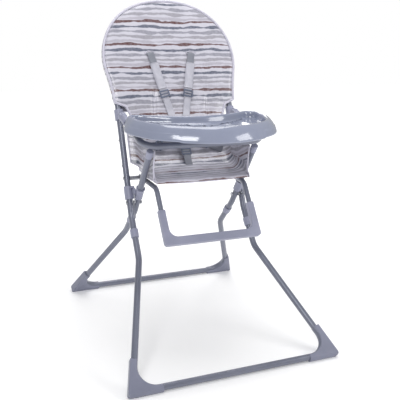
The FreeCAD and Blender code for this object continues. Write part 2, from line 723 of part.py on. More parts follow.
def make_back_pad():
    lower = [(PAD_LOWER_X, PAD_BOTTOM_A), (PAD_LOWER_X, NARROW_TOP_A), SHOULDER_CORNER]
    body = make_back_panel(PAD_REAR_P, PAD_FRONT_P, lower)
    for x in (-SLOT_X, SLOT_X):
        body = body.cut(slot_box(x))
    return placed(body, BACK_PLANE)


def make_back_rear_panel():
    body = make_back_panel(-PAD_REAR_P - REAR_PANEL, -PAD_REAR_P, [(SHOULDER_CORNER[0], REAR_HEM_A)])
    return placed(body, BACK_PLANE)


# ---- side wings ----
WING_X = 160.5           # outer face of a wing
WING_THICK = 2.4


def make_wing():
    """The fabric side panel between the arm, the back and the seat."""
    inner = WING_X - WING_THICK
    corners = [
        (-52.0, 610.0), (-46.0, 532.0), (70.0, 532.0),
        (112.0, 560.0), (150.0, 652.0), (100.0, 648.0),
    ]
    points = [vec(inner, y, z) for y, z in corners]
    face = Part.Face(Part.makePolygon(points + [points[0]]))
    return face.extrude(vec(WING_THICK, 0, 0))


# ---- harness ----
STRAP_P = PAD_FRONT_P + 0.6
STRAP_TAIL = 8.0         # how far the strap's end reaches behind the tube plane
BUCKLE_A = 206.0
BUCKLE_P = PAD_FRONT_P + 5.0


def flat_strap(start, end, p, width=STRAP_WIDTH, thick=STRAP_THICK):
    """A strap lying on the back pad from start to end, both (x, a)."""
    run = vec(end[0] - start[0], end[1] - start[1], 0)
    body = Part.makeBox(run.Length, width, thick, vec(0, -width / 2.0, 0))
    body.rotate(vec(0, 0, 0), vec(0, 0, 1), math.degrees(math.atan2(run.y, run.x)))
    body.translate(vec(start[0], start[1], p))
    return body


SHOULDER_LOW = (15.0, BUCKLE_A + 22.0)
SHOULDER_TOP = (SLOT_X, SLOT_A)


def along_shoulder(fraction):
    x = SHOULDER_TOP[0] + (SHOULDER_LOW[0] - SHOULDER_TOP[0]) * fraction
    a = SHOULDER_TOP[1] + (SHOULDER_LOW[1] - SHOULDER_TOP[1]) * fraction
    return (x, a)


def make_shoulder_strap():
    """From behind the back pad, through its slot and down to the buckle."""
    front = flat_strap(SHOULDER_TOP, SHOULDER_LOW, STRAP_P)
    depth = STRAP_P + STRAP_THICK + STRAP_TAIL
    corner = vec(SLOT_X - STRAP_WIDTH / 2.0, SLOT_A - STRAP_THICK / 2.0, -STRAP_TAIL)
    through = Part.makeBox(STRAP_WIDTH, STRAP_THICK, depth, corner)
    return placed(fused([front, through]), BACK_PLANE)


def make_shoulder_sleeve():
    """The padded sleeve on the upper part of a shoulder strap."""
    start = along_shoulder(0.12)
    end = along_shoulder(0.46)
    shell = flat_strap(start, end, STRAP_P - 0.4, 33.0, 7.0)
    passage = flat_strap(along_shoulder(0.05), along_shoulder(0.6), STRAP_P - 0.3, STRAP_WIDTH + 0.6,
                         STRAP_THICK + 0.6)
    return placed(shell.cut(passage), BACK_PLANE)


def tri_glide(centre, angle, p):
    """A strap adjuster: a frame with a middle bar, lying over its strap."""
    frame = Part.makeBox(34.0, 24.0, 3.0, vec(-17.0, -12.0, 0))
    frame = rounded(frame, 3.0, lambda e: abs(e.tangentAt(e.FirstParameter).z) > 0.9)
    for y in (-7.5, 1.5):
        frame = frame.cut(Part.makeBox(27.0, 6.0, 10.0, vec(-13.5, y, -2.0)))
    frame.rotate(vec(0, 0, 0), vec(0, 0, 1), angle)
    frame.translate(vec(centre[0], centre[1], p))
    return frame


def make_shoulder_adjuster():
    run = vec(SHOULDER_TOP[0] - SHOULDER_LOW[0], SHOULDER_TOP[1] - SHOULDER_LOW[1], 0)
    angle = math.degrees(math.atan2(run.y, run.x)) - 90.0
    body = tri_glide(along_shoulder(0.54), angle, STRAP_P + STRAP_THICK + 0.3)
    return placed(body, BACK_PLANE)


WAIST_OUT = (148.0, 150.0)
WAIST_IN = (31.0, BUCKLE_A - 7.0)


def make_waist_strap():
    return placed(flat_strap(WAIST_OUT, WAIST_IN, STRAP_P), BACK_PLANE)


def make_waist_adjuster():
    run = vec(WAIST_OUT[0] - WAIST_IN[0], WAIST_OUT[1] - WAIST_IN[1], 0)
    angle = math.degrees(math.atan2(run.y, run.x)) - 90.0
    centre = (WAIST_IN[0] + run.x * 0.42, WAIST_IN[1] + run.y * 0.42)
    return placed(tri_glide(centre, angle, STRAP_P + STRAP_THICK + 0.3), BACK_PLANE)


def make_buckle_housing():
    """A six-sided shell with an oval well for the release button and two side mouths."""
    outline = [(-26, -12), (-16, -22), (16, -22), (26, -12), (26, 12), (16, 20), (-16, 20), (-26, 12)]
    points = [vec(x, BUCKLE_A + a, BUCKLE_P) for x, a in outline]
    body = Part.Face(Part.makePolygon(points + [points[0]])).extrude(vec(0, 0, 13.0))
    body = rounded(body, 2.0, lambda e: abs(e.tangentAt(e.FirstParameter).z) < 0.5
                   and e.CenterOfMass.z > BUCKLE_P + 12.0)
    well = oval_prism(13.4, 8.4, BUCKLE_P + 6.0, BUCKLE_P + 14.0)
    body = body.cut(well)
    for side in (-1.0, 1.0):
        mouth = Part.makeBox(12.0, 18.0, 4.4, vec(side * 21.0 - 6.0, BUCKLE_A - 9.0, BUCKLE_P + 1.2))
        body = body.cut(mouth)
    return placed(body, BACK_PLANE)


def oval_prism(half_x, half_a, p0, p1):
    ellipse = Part.Ellipse(vec(0, BUCKLE_A, p0), half_x, half_a)
    return Part.Face(Part.Wire([ellipse.toShape()])).extrude(vec(0, 0, p1 - p0))


def make_buckle_button():
    body = oval_prism(12.8, 7.8, BUCKLE_P + 8.6, BUCKLE_P + 14.6)
    body = rounded(body, 1.2, lambda e: e.CenterOfMass.z > BUCKLE_P + 14.0 and e.Closed)
    return placed(body, BACK_PLANE)


def make_buckle_tongue():
    """A tongue that enters the buckle's side and carries the waist strap's end."""
    blade = Part.makeBox(20.0, 16.0, 3.2, vec(16.2, BUCKLE_A - 8.0, BUCKLE_P + 1.8))
    loop = Part.makeBox(13.0, 31.0, 3.2, vec(29.0, BUCKLE_A - 15.5, BUCKLE_P + 1.8))
    body = fused([blade, loop])
    body = body.cut(Part.makeBox(4.0, 26.0, 8.0, vec(35.0, BUCKLE_A - 13.0, BUCKLE_P - 1.0)))
    return placed(body, BACK_PLANE)


CROTCH_SEAT = (44.0, 529.8)  # Y, Z of the strap's lower end


CROTCH_START = vec(0, CROTCH_SEAT[0], CROTCH_SEAT[1])
CROTCH_RUN = on_back(0, BUCKLE_A - 24.0, BUCKLE_P + 5.0) - CROTCH_START
CROTCH_TILT = math.degrees(math.atan2(CROTCH_RUN.z, CROTCH_RUN.y))


def make_crotch_strap():
    """From the seat up to the underside of the buckle."""
    body = Part.makeBox(STRAP_WIDTH, CROTCH_RUN.Length, STRAP_THICK, vec(-STRAP_WIDTH / 2.0, 0, 0))
    body.rotate(vec(0, 0, 0), vec(1, 0, 0), CROTCH_TILT)
    body.translate(CROTCH_START)
    return body


def make_crotch_adjuster():
    frame = tri_glide((0, 0), 0.0, 0.0)
    frame.rotate(vec(0, 0, 0), vec(1, 0, 0), CROTCH_TILT)
    outward = vec(0, -CROTCH_RUN.z, CROTCH_RUN.y).normalize()
    frame.translate(CROTCH_START + CROTCH_RUN * 0.62 + outward * (STRAP_THICK + GAP))
    return frame


def main():
    save(make_back_tube(), "back_tube")
    save(make_leg_u(front_leg_points()), "front_leg_tube")
    save(make_leg_u(rear_leg_points()), "rear_leg_tube")
    save_pair(make_sleeve(FRONT_JOINT, FRONT_BEND_POINT - BACK_BEND), "front_joint_sleeve")
    save_pair(make_sleeve(REAR_JOINT, REAR_BEND_POINT - REAR_TOP_BEND), "rear_joint_sleeve")
    save_pair(make_foot(FRONT_BEND_POINT, FRONT_CORNER, front_leg_points()), "front_foot")
    save_pair(make_foot(REAR_BEND_POINT, REAR_CORNER, rear_leg_points()), "rear_foot")
    save_pair(make_post(), "rear_post")
    save_pair(make_post_cap(), "post_cap")
    save_pair(make_lock_slider(), "lock_slider")
    save_pair(make_pull_wire(), "lock_pull_wire")
    save_pair(make_lock_collar(), "lock_collar")
    pivot = make_pivot_bolt()
    save(Part.makeCompound([pivot, mirrored(pivot)]), "frame_pivot_bolts")
    seat_bolt = make_seat_bolt()
    save(Part.makeCompound([seat_bolt, mirrored(seat_bolt)]), "seat_pivot_bolts")
    save(make_rivets(), "frame_rivets")
    save_pair(make_arm_clamp(), "arm_clamp")
    save_pair(make_arm_socket(), "arm_socket")
    save(make_arm_tube(), "arm_tube")
    save(make_tray(), "tray")
    save_pair(make_tray_clip(), "tray_clip")
    save(make_seat_tube(), "seat_tube")
    save(make_footrest_cover(), "footrest_cover")
    save(make_seat_pad(), "seat_pad")
    save(make_seat_valance(), "seat_valance")
    save(make_back_pad(), "back_pad")
    save(make_back_rear_panel(), "back_rear_panel")
    save_pair(make_wing(), "side_wing")
    save_pair(make_shoulder_strap(), "shoulder_strap")
    save_pair(make_shoulder_sleeve(), "shoulder_sleeve")
    save_pair(make_shoulder_adjuster(), "shoulder_adjuster")
    save_pair(make_waist_strap(), "waist_strap")
    save_pair(make_waist_adjuster(), "waist_adjuster")
    save(make_crotch_strap(), "crotch_strap")
    save(make_crotch_adjuster(), "crotch_adjuster")
    save(make_buckle_housing(), "buckle_housing")
    save(make_buckle_button(), "buckle_button")
    save_pair(make_buckle_tongue(), "buckle_tongue")


main()
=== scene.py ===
import json
import math

import bpy
import numpy as np
from mathutils import Matrix, Vector, noise


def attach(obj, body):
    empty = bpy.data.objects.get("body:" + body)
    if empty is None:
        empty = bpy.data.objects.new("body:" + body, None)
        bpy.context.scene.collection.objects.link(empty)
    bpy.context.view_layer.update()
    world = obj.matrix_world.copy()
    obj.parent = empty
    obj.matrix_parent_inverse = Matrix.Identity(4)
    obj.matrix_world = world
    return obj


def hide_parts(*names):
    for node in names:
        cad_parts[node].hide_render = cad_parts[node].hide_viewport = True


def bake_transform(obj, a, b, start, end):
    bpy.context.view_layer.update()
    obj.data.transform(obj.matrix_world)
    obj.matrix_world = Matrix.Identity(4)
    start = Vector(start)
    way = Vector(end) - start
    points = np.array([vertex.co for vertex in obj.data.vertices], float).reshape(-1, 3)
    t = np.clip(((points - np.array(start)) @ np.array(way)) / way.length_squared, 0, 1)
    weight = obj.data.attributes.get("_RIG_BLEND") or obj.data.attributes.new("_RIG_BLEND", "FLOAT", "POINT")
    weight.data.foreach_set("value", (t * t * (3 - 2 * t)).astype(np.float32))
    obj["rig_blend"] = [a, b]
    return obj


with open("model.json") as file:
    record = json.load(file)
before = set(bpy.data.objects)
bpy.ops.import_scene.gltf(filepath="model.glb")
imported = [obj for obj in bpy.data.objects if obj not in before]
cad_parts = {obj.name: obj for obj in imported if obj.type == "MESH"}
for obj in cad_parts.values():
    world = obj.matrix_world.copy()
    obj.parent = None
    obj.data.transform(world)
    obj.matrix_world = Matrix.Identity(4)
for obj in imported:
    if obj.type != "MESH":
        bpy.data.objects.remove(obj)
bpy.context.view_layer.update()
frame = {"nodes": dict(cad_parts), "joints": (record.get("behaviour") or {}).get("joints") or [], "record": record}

NODES = frame["nodes"]
JOINTS = {joint["name"]: joint for joint in frame["joints"]}

# ---- the back frame's own axes: x across, a up along the tubes, p square to them, forward ----
PIVOT = np.array(JOINTS["main_fold"]["pos_m"])
RAKE = math.radians(24.0)
ALONG = np.array([0.0, math.sin(RAKE), math.cos(RAKE)])
FORWARD = np.array([0.0, -math.cos(RAKE), math.sin(RAKE)])
ACROSS = np.array([1.0, 0.0, 0.0])


def on_back(x, a, p):
    """Points in the row frame from back-frame coordinates; each may be an array."""
    x, a, p = np.broadcast_arrays(np.asarray(x, float), np.asarray(a, float), np.asarray(p, float))
    return PIVOT + x[..., None] * ACROSS + a[..., None] * ALONG + p[..., None] * FORWARD


def back_coords(points):
    offset = np.asarray(points, float) - PIVOT
    return offset @ ACROSS, offset @ ALONG, offset @ FORWARD


def smoothstep(low, high, value):
    t = np.clip((np.asarray(value, float) - low) / (high - low), 0.0, 1.0)
    return t * t * (3.0 - 2.0 * t)


def ripple(points, scale, seed=0.0):
    """Smooth noise from -1 to 1 at each point."""
    shift = Vector((seed, 7.1 * seed, 3.3))
    return np.array([noise.noise(Vector(point) * scale + shift) for point in points])


# ---- meshes ----
def mesh_object(name, points, faces):
    mesh = bpy.data.meshes.new(name)
    mesh.from_pydata([tuple(point) for point in np.asarray(points, float)], [], faces)
    mesh.validate()
    mesh.polygons.foreach_set("use_smooth", [True] * len(mesh.polygons))
    mesh.update()
    obj = bpy.data.objects.new(name, mesh)
    bpy.context.scene.collection.objects.link(obj)
    return obj


def grid_faces(rows, columns, close_rows=False, close_columns=False):
    faces = []
    for i in range(rows if close_rows else rows - 1):
        for j in range(columns if close_columns else columns - 1):
            i1 = (i + 1) % rows
            j1 = (j + 1) % columns
            faces.append((i * columns + j, i * columns + j1, i1 * columns + j1, i1 * columns + j))
    return faces


def vertices_of(obj):
    out = np.empty(len(obj.data.vertices) * 3)
    obj.data.vertices.foreach_get("co", out)
    return out.reshape(-1, 3)


def set_vertices(obj, points):
    obj.data.vertices.foreach_set("co", np.asarray(points, float).ravel())
    obj.data.update()


def mark_cloth(obj, u, v):
    """Stores where each point lies on the flat cloth: u across the print, v along it, in metres."""
    layers = obj.data.attributes
    layer = layers.get("cloth") or layers.new("cloth", "FLOAT_VECTOR", "POINT")
    u, v = np.broadcast_arrays(np.asarray(u, float), np.asarray(v, float))
    layer.data.foreach_set("vector", np.stack([u, v, np.zeros_like(u)], 1).astype(np.float32).ravel())


def apply_modifiers(obj):
    graph = bpy.context.evaluated_depsgraph_get()
    mesh = bpy.data.meshes.new_from_object(obj.evaluated_get(graph))
    old = obj.data
    obj.modifiers.clear()
    obj.data = mesh
    bpy.data.meshes.remove(old)
    mesh.polygons.foreach_set("use_smooth", [True] * len(mesh.polygons))


def subdivided(obj, levels=1):
    modifier = obj.modifiers.new("subdivision", "SUBSURF")
    modifier.levels = levels
    modifier.render_levels = levels
    apply_modifiers(obj)


def solidified(obj, thickness, offset=0.0):
    modifier = obj.modifiers.new("thickness", "SOLIDIFY")
    modifier.thickness = thickness
    modifier.offset = offset
    apply_modifiers(obj)


def path_frames(points, closed=False):
    """Unit tangents along a polyline."""
    if closed:
        tangents = np.roll(points, -1, 0) - np.roll(points, 1, 0)
    else:
        tangents = np.gradient(points, axis=0)
    return tangents / np.linalg.norm(tangents, axis=1)[:, None]


def resampled(points, spacing, closed=False):
    points = np.asarray(points, float)
    if closed:
        points = np.vstack([points, points[:1]])
    lengths = np.r_[0.0, np.cumsum(np.linalg.norm(np.diff(points, axis=0), axis=1))]
    count = max(3, int(round(lengths[-1] / spacing)) + 1)
    stations = np.linspace(0.0, lengths[-1], count)
    if closed:
        stations = stations[:-1]
    return np.stack([np.interp(stations, lengths, points[:, k]) for k in range(3)], 1)


def rounded_line(points, passes=3):
    """Corner cutting that keeps both ends."""
    points = np.asarray(points, float)
    for _ in range(passes):
        near = points[:-1] * 0.75 + points[1:] * 0.25
        far = points[:-1] * 0.25 + points[1:] * 0.75
        inner = np.stack([near, far], 1).reshape(-1, 3)
        points = np.vstack([points[:1], inner[1:-1], points[-1:]])
    return points


def piping(name, points, radius, closed=False, sides=10, spacing=0.004):
    """A round welt along a line."""
    line = resampled(points, spacing, closed)
    tangents = path_frames(line, closed)
    normal = np.cross(tangents[0], [0.31, 0.52, 0.79])
    normal /= np.linalg.norm(normal)
    rings = []
    for point, tangent in zip(line, tangents):
        normal = normal - tangent * (normal @ tangent)
        normal /= np.linalg.norm(normal)
        side = np.cross(tangent, normal)
        angles = np.arange(sides) * (2.0 * math.pi / sides)
        rings.append(point + radius * (np.cos(angles)[:, None] * normal + np.sin(angles)[:, None] * side))
    points_out = np.vstack(rings)
    faces = grid_faces(len(line), sides, closed, True)
    if not closed:
        faces.append(tuple(reversed(range(sides))))
        faces.append(tuple(range((len(line) - 1) * sides, len(line) * sides)))
    obj = mesh_object(name, points_out, faces)
    run = np.repeat(np.arange(len(line)) * spacing, sides)
    mark_cloth(obj, np.tile(np.arange(sides) * 0.001, len(line)), run)
    return obj


def ribbon(name, line, outward, width, thick, crown=0.0, spacing=0.006):
    """A flat strap along a line, with its face towards outward."""
    line = resampled(line, spacing)
    tangents = path_frames(line)
    outward = np.asarray(outward, float)
    facing = np.broadcast_to(outward, line.shape) if outward.ndim == 1 else outward
    half = width / 2.0
    across = np.array([-1.0, -0.96, -0.6, -0.2, 0.2, 0.6, 0.96, 1.0])
    top = thick * np.array([0.5, 0.95, 1.0, 1.0, 1.0, 1.0, 0.95, 0.5]) + crown * (1.0 - across ** 2)
    low = thick * np.array([0.45, 0.05, 0.0, 0.0, 0.0, 0.0, 0.05, 0.45])
    rings, us = [], []
    for point, tangent, out in zip(line, tangents, facing):
        side = np.cross(tangent, out)
        side /= np.linalg.norm(side)
        up = np.cross(side, tangent)
        upper = point + side * (across * half)[:, None] + up * top[:, None]
        lower = point + side * (across[::-1] * half)[:, None] + up * low[:, None]
        rings.append(np.vstack([upper, lower]))
        us.append(np.r_[across * half, across[::-1] * half])
    count = 2 * len(across)
    faces = grid_faces(len(line), count, False, True)
    faces.append(tuple(range(count)))
    faces.append(tuple(reversed(range((len(line) - 1) * count, len(line) * count))))
    obj = mesh_object(name, np.vstack(rings), faces)
    mark_cloth(obj, np.concatenate(us), np.repeat(np.arange(len(line)) * spacing, count))
    return obj


def tack_row(name, line, outward, length=0.003, gap=0.0022, width=0.0009, height=0.0006):
    """A row of raised machine stitches along a line."""
    line = resampled(line, (length + gap) / 4.0)
    tangents = path_frames(line)
    outward = np.asarray(outward, float)
    facing = np.broadcast_to(outward, line.shape) if outward.ndim == 1 else outward
    points, faces = [], []
    for i in range(0, len(line) - 2, 4):
        centre, tangent, out = line[i], tangents[i], facing[i]
        side = np.cross(tangent, out)
        side /= np.linalg.norm(side)
        base = len(points)
        for s, w, h in ((-0.5, 0.35, 0.2), (-0.25, 1.0, 1.0), (0.25, 1.0, 1.0), (0.5, 0.35, 0.2)):
            for k, lift in ((-0.5, 0.0), (-0.25, 1.0), (0.25, 1.0), (0.5, 0.0)):
                points.append(centre + tangent * s * length + side * k * w * width * 2.0
                              + out * (lift * h * height - 0.0003))
        for a, b, c, d in grid_faces(4, 4):
            faces.append((base + a, base + b, base + c, base + d))
        faces.append((base + 0, base + 12, base + 15, base + 3))
    return mesh_object(name, points, faces)


# ---- materials ----
class Shader:
    """A short way to write a node material."""

    def __init__(self, name):
        self.material = bpy.data.materials.new(name)
        self.material.use_nodes = True
        self.tree = self.material.node_tree
        self.surface = self.tree.nodes["Principled BSDF"]

    def node(self, kind, settings=None, **links):
        made = self.tree.nodes.new("ShaderNode" + kind)
        for key, value in (settings or {}).items():
            setattr(made, key, value)
        for key, value in links.items():
            self.feed(made, key.replace("_", " "), value)
        return made

    def feed(self, node, socket, value):
        target = node.inputs[int(socket)] if str(socket).isdigit() else node.inputs[socket]
        if isinstance(value, bpy.types.NodeSocket):
            self.tree.links.new(value, target)
        else:
            target.default_value = value

    def math(self, operation, a, b=0.0, c=0.0, clamp=False):
        made = self.node("Math", {"operation": operation, "use_clamp": clamp})
        for i, value in enumerate((a, b, c)):
            self.feed(made, str(i), value)
        return made.outputs[0]

    def noise(self, vector, scale, detail=3.0, roughness=0.5):
        made = self.node("TexNoise", Vector=vector, Scale=scale, Detail=detail, Roughness=roughness)
        return made.outputs["Fac"]

    def stretched(self, vector, scale):
        return self.node("Mapping", Vector=vector, Scale=scale).outputs[0]

    def span(self, value, low, high, out_low, out_high):
        made = self.node("MapRange", Value=value)
        for key, number in (("From Min", low), ("From Max", high), ("To Min", out_low), ("To Max", out_high)):
            made.inputs[key].default_value = number
        return made.outputs[0]

    def mix(self, factor, a, b, blend="MIX"):
        made = self.node("Mix", {"data_type": "RGBA", "blend_type": blend})
        self.feed(made, "0", factor)
        self.feed(made, "6", a)
        self.feed(made, "7", b)
        return made.outputs[2]

    def bump(self, height, strength, distance, below=None):
        made = self.node("Bump", Height=height, Strength=strength, Distance=distance)
        if below is not None:
            self.feed(made, "Normal", below)
        return made.outputs[0]

    def place(self):
        return self.node("TexCoord").outputs["Object"]

    def cloth(self):
        return self.node("Attribute", {"attribute_name": "cloth"}).outputs["Vector"]

    def finish(self, **sockets):
        for key, value in sockets.items():
            self.feed(self.surface, key.replace("_", " "), value)
        return self.material


def colour(red, green, blue):
    return (red, green, blue, 1.0)


def painted_tube():
    s = Shader("tube_paint")
    where = s.place()
    cloud = s.noise(where, 9.0, 4.0)
    flake = s.noise(where, 520.0, 2.0)
    tone = s.mix(s.span(cloud, 0.35, 0.65, 0.0, 1.0),
                 colour(0.150, 0.162, 0.216), colour(0.180, 0.192, 0.250))
    tone = s.mix(s.span(flake, 0.45, 0.7, 0.0, 0.35), tone, colour(0.235, 0.245, 0.300))
    height = s.node("SeparateXYZ", Vector=where).outputs[2]
    low = s.span(height, 0.0, 0.12, 0.8, 0.0)
    scuff = s.span(s.noise(s.stretched(where, (60.0, 60.0, 60.0)), 1.0, 6.0, 0.7), 0.62, 0.72, 0.0, 1.0)
    tone = s.mix(s.math("MULTIPLY", low, scuff), tone, colour(0.30, 0.30, 0.33))
    rough = s.span(cloud, 0.3, 0.7, 0.30, 0.40)
    normal = s.bump(s.noise(where, 260.0, 2.0), 0.10, 0.0004)
    return s.finish(Base_Color=tone, Roughness=rough, Metallic=0.25, Normal=normal,
                    Coat_Weight=0.35, Coat_Roughness=0.16)


def moulded_plastic(name, light, dark, rough, grain=0.12, coat=0.0):
    s = Shader(name)
    where = s.place()
    cloud = s.noise(where, 14.0, 4.0)
    tone = s.mix(s.span(cloud, 0.35, 0.65, 0.0, 1.0), dark, light)
    pits = s.noise(where, 900.0, 2.0)
    tone = s.mix(s.span(pits, 0.3, 0.45, 0.25, 0.0), tone, dark)
    swirl = s.noise(s.stretched(where, (3.0, 3.0, 9.0)), 6.0, 2.0)
    roughness = s.math("ADD", s.span(cloud, 0.3, 0.7, rough - 0.04, rough + 0.05),
                       s.span(swirl, 0.4, 0.7, 0.0, 0.04))
    normal = s.bump(pits, grain, 0.0003)
    normal = s.bump(swirl, 0.05, 0.002, normal)
    return s.finish(Base_Color=tone, Roughness=roughness, Normal=normal,
                    Coat_Weight=coat, Coat_Roughness=0.08)


def tray_plastic():
    s = Shader("tray_plastic")
    where = s.place()
    cloud = s.noise(where, 7.0, 3.0)
    tone = s.mix(s.span(cloud, 0.35, 0.65, 0.0, 1.0),
                 colour(0.245, 0.270, 0.365), colour(0.275, 0.300, 0.400))
    scratch = s.noise(s.stretched(where, (14.0, 420.0, 420.0)), 1.0, 4.0, 0.6)
    marks = s.span(scratch, 0.66, 0.72, 0.0, 1.0)
    tone = s.mix(s.math("MULTIPLY", marks, 0.10), tone, colour(0.45, 0.47, 0.55))
    rough = s.math("ADD", s.span(cloud, 0.3, 0.7, 0.12, 0.19), s.math("MULTIPLY", marks, 0.12))
    normal = s.bump(s.noise(where, 40.0, 2.0), 0.03, 0.002)
    return s.finish(Base_Color=tone, Roughness=rough, Normal=normal, Coat_Weight=0.8, Coat_Roughness=0.05)


def steel():
    s = Shader("steel")
    where = s.place()
    brushed = s.noise(s.stretched(where, (900.0, 120.0, 120.0)), 1.0, 3.0)
    cloud = s.noise(where, 60.0, 3.0)
    tone = s.mix(cloud, colour(0.32, 0.33, 0.36), colour(0.50, 0.51, 0.54))
    rough = s.span(brushed, 0.3, 0.7, 0.24, 0.42)
    return s.finish(Base_Color=tone, Roughness=rough, Metallic=0.9, Normal=s.bump(brushed, 0.15, 0.0002))


# One stripe: place within the repeat, half width, colour, how solid it is.
PRINT_REPEAT = 0.0795
PRINT_START = 0.0406     # where the print begins, measured up the back tubes from the pivot
STRIPES = (
    (0.19, 0.055, colour(0.37, 0.35, 0.41), 0.70),
    (0.38, 0.064, colour(0.29, 0.28, 0.32), 0.85),
    (0.59, 0.068, colour(0.24, 0.24, 0.29), 0.85),
    (0.81, 0.058, colour(0.080, 0.095, 0.145), 0.95),
    (0.06, 0.052, colour(0.100, 0.032, 0.031), 0.97),
)


def printed_cover():
    """Glossy coated cloth with hand-painted looking horizontal stripes."""
    s = Shader("printed_cover")
    flat = s.cloth()
    split = s.node("SeparateXYZ", Vector=flat)
    u, v = split.outputs[0], split.outputs[1]
    drift = s.noise(s.stretched(flat, (9.0, 14.0, 1.0)), 1.0, 2.0)
    fine = s.noise(s.stretched(flat, (60.0, 40.0, 1.0)), 1.0, 2.0)
    moved = s.math("ADD", v, s.span(drift, 0.25, 0.75, -0.0045, 0.0045))
    moved = s.math("ADD", moved, s.span(fine, 0.25, 0.75, -0.0009, 0.0009))
    phase = s.math("FRACT", s.math("DIVIDE", s.math("ADD", moved, 10.0 * PRINT_REPEAT), PRINT_REPEAT))
    tone = s.mix(s.noise(flat, 25.0, 3.0), colour(0.555, 0.545, 0.625), colour(0.640, 0.628, 0.700))
    for number, (centre, half, ink, solid) in enumerate(STRIPES):
        swell = s.noise(s.stretched(flat, (17.0 + number, 24.0, 1.0)), 1.0, 2.0)
        width = s.math("MULTIPLY", s.span(swell, 0.28, 0.70, 0.25, 1.55), half)
        apart = s.math("ABSOLUTE", s.math("SUBTRACT", phase, centre))
        apart = s.math("MINIMUM", apart, s.math("SUBTRACT", 1.0, apart))
        inside = s.math("SUBTRACT", width, apart)
        wash = s.noise(s.stretched(flat, (120.0, 160.0, 1.0)), 1.0, 3.0)
        cover = s.math("MULTIPLY", s.span(inside, -0.012, 0.016, 0.0, solid),
                       s.span(wash, 0.25, 0.7, 0.78, 1.05))
        tone = s.mix(s.math("MINIMUM", cover, 1.0), tone, ink)
    weave = s.math("MULTIPLY", s.math("SINE", s.math("MULTIPLY", u, 7800.0)),
                   s.math("SINE", s.math("MULTIPLY", v, 7800.0)))
    creases = s.noise(s.stretched(flat, (22.0, 9.0, 1.0)), 1.0, 4.0, 0.62)
    folds = s.math("ABSOLUTE", s.math("SUBTRACT", creases, 0.5))
    normal = s.bump(weave, 0.10, 0.0002)
    normal = s.bump(folds, 0.75, 0.007, normal)
    normal = s.bump(s.noise(s.stretched(flat, (55.0, 38.0, 1.0)), 1.0, 2.0), 0.45, 0.0035, normal)
    rough = s.span(creases, 0.3, 0.7, 0.26, 0.40)
    return s.finish(Base_Color=tone, Roughness=rough, Normal=normal, Coat_Weight=0.5, Coat_Roughness=0.14,
                    Sheen_Weight=0.05)


def plain_cloth(name, light, dark, rough=0.6, threads=2600.0, coat=0.0):
    """Woven tape or binding, with ribs along and across."""
    s = Shader(name)
    flat = s.cloth()
    split = s.node("SeparateXYZ", Vector=flat)
    u, v = split.outputs[0], split.outputs[1]
    twill = s.math("SINE", s.math("ADD", s.math("MULTIPLY", u, threads),
                                  s.math("MULTIPLY", v, threads * 0.8)))
    weft = s.math("SINE", s.math("MULTIPLY", v, threads * 1.7))
    cloud = s.noise(flat, 35.0, 3.0)
    tone = s.mix(s.span(cloud, 0.35, 0.65, 0.0, 1.0), dark, light)
    tone = s.mix(s.span(twill, -1.0, 1.0, 0.0, 0.35), tone, dark)
    height = s.math("ADD", twill, s.math("MULTIPLY", weft, 0.5))
    return s.finish(Base_Color=tone, Roughness=rough, Normal=s.bump(height, 0.35, 0.0004),
                    Coat_Weight=coat, Coat_Roughness=0.2, Sheen_Weight=0.15)


PAINT = painted_tube()
FITTING = moulded_plastic("fitting_plastic", colour(0.315, 0.325, 0.430), colour(0.270, 0.280, 0.375), 0.38)
FOOT = moulded_plastic("foot_plastic", colour(0.225, 0.235, 0.315), colour(0.190, 0.200, 0.270), 0.34)
BUCKLE = moulded_plastic("buckle_plastic", colour(0.155, 0.180, 0.255), colour(0.120, 0.140, 0.205),
                         0.30, 0.06, 0.3)
TRAY = tray_plastic()
STEEL = steel()
PRINT = printed_cover()
BINDING = plain_cloth("edge_binding", colour(0.64, 0.62, 0.72), colour(0.55, 0.54, 0.64), 0.42, 2600.0, 0.3)
STRAP_GREY = plain_cloth("strap_webbing", colour(0.255, 0.265, 0.310), colour(0.195, 0.205, 0.245))
# A lighter copy of the grey strap webbing, used only on the crotch strap: painted light, the same webbing coloured
# brighter as if it caught more light.
STRAP_LIT_COPY = plain_cloth("strap_lit_copy", colour(0.36, 0.37, 0.42), colour(0.28, 0.29, 0.34))
SLEEVE_CLOTH = plain_cloth("sleeve_cloth", colour(0.60, 0.59, 0.66), colour(0.47, 0.47, 0.54), 0.5)
THREAD = plain_cloth("thread", colour(0.50, 0.50, 0.57), colour(0.42, 0.42, 0.50), 0.6)

SLOT_OF = {
    "tube_paint": PAINT, "fitting_plastic": FITTING, "tray_plastic": TRAY, "steel": STEEL,
    "buckle_plastic": BUCKLE, "printed_cover": PRINT, "webbing": STRAP_GREY,
}


def give(obj, material):
    obj.data.materials.clear()
    obj.data.materials.append(material)
    return obj


for part in frame["record"]["subparts"]:
    give(NODES[part["node"]], FOOT if "_foot_" in part["node"] else SLOT_OF[part["material_slot"]])


def finished(obj, material, body, nodes=()):
    """Gives a new piece its material, its body and the nodes it stands for."""
    give(obj, material)
    if body:
        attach(obj, body)
    if nodes:
        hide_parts(*nodes)
    return obj


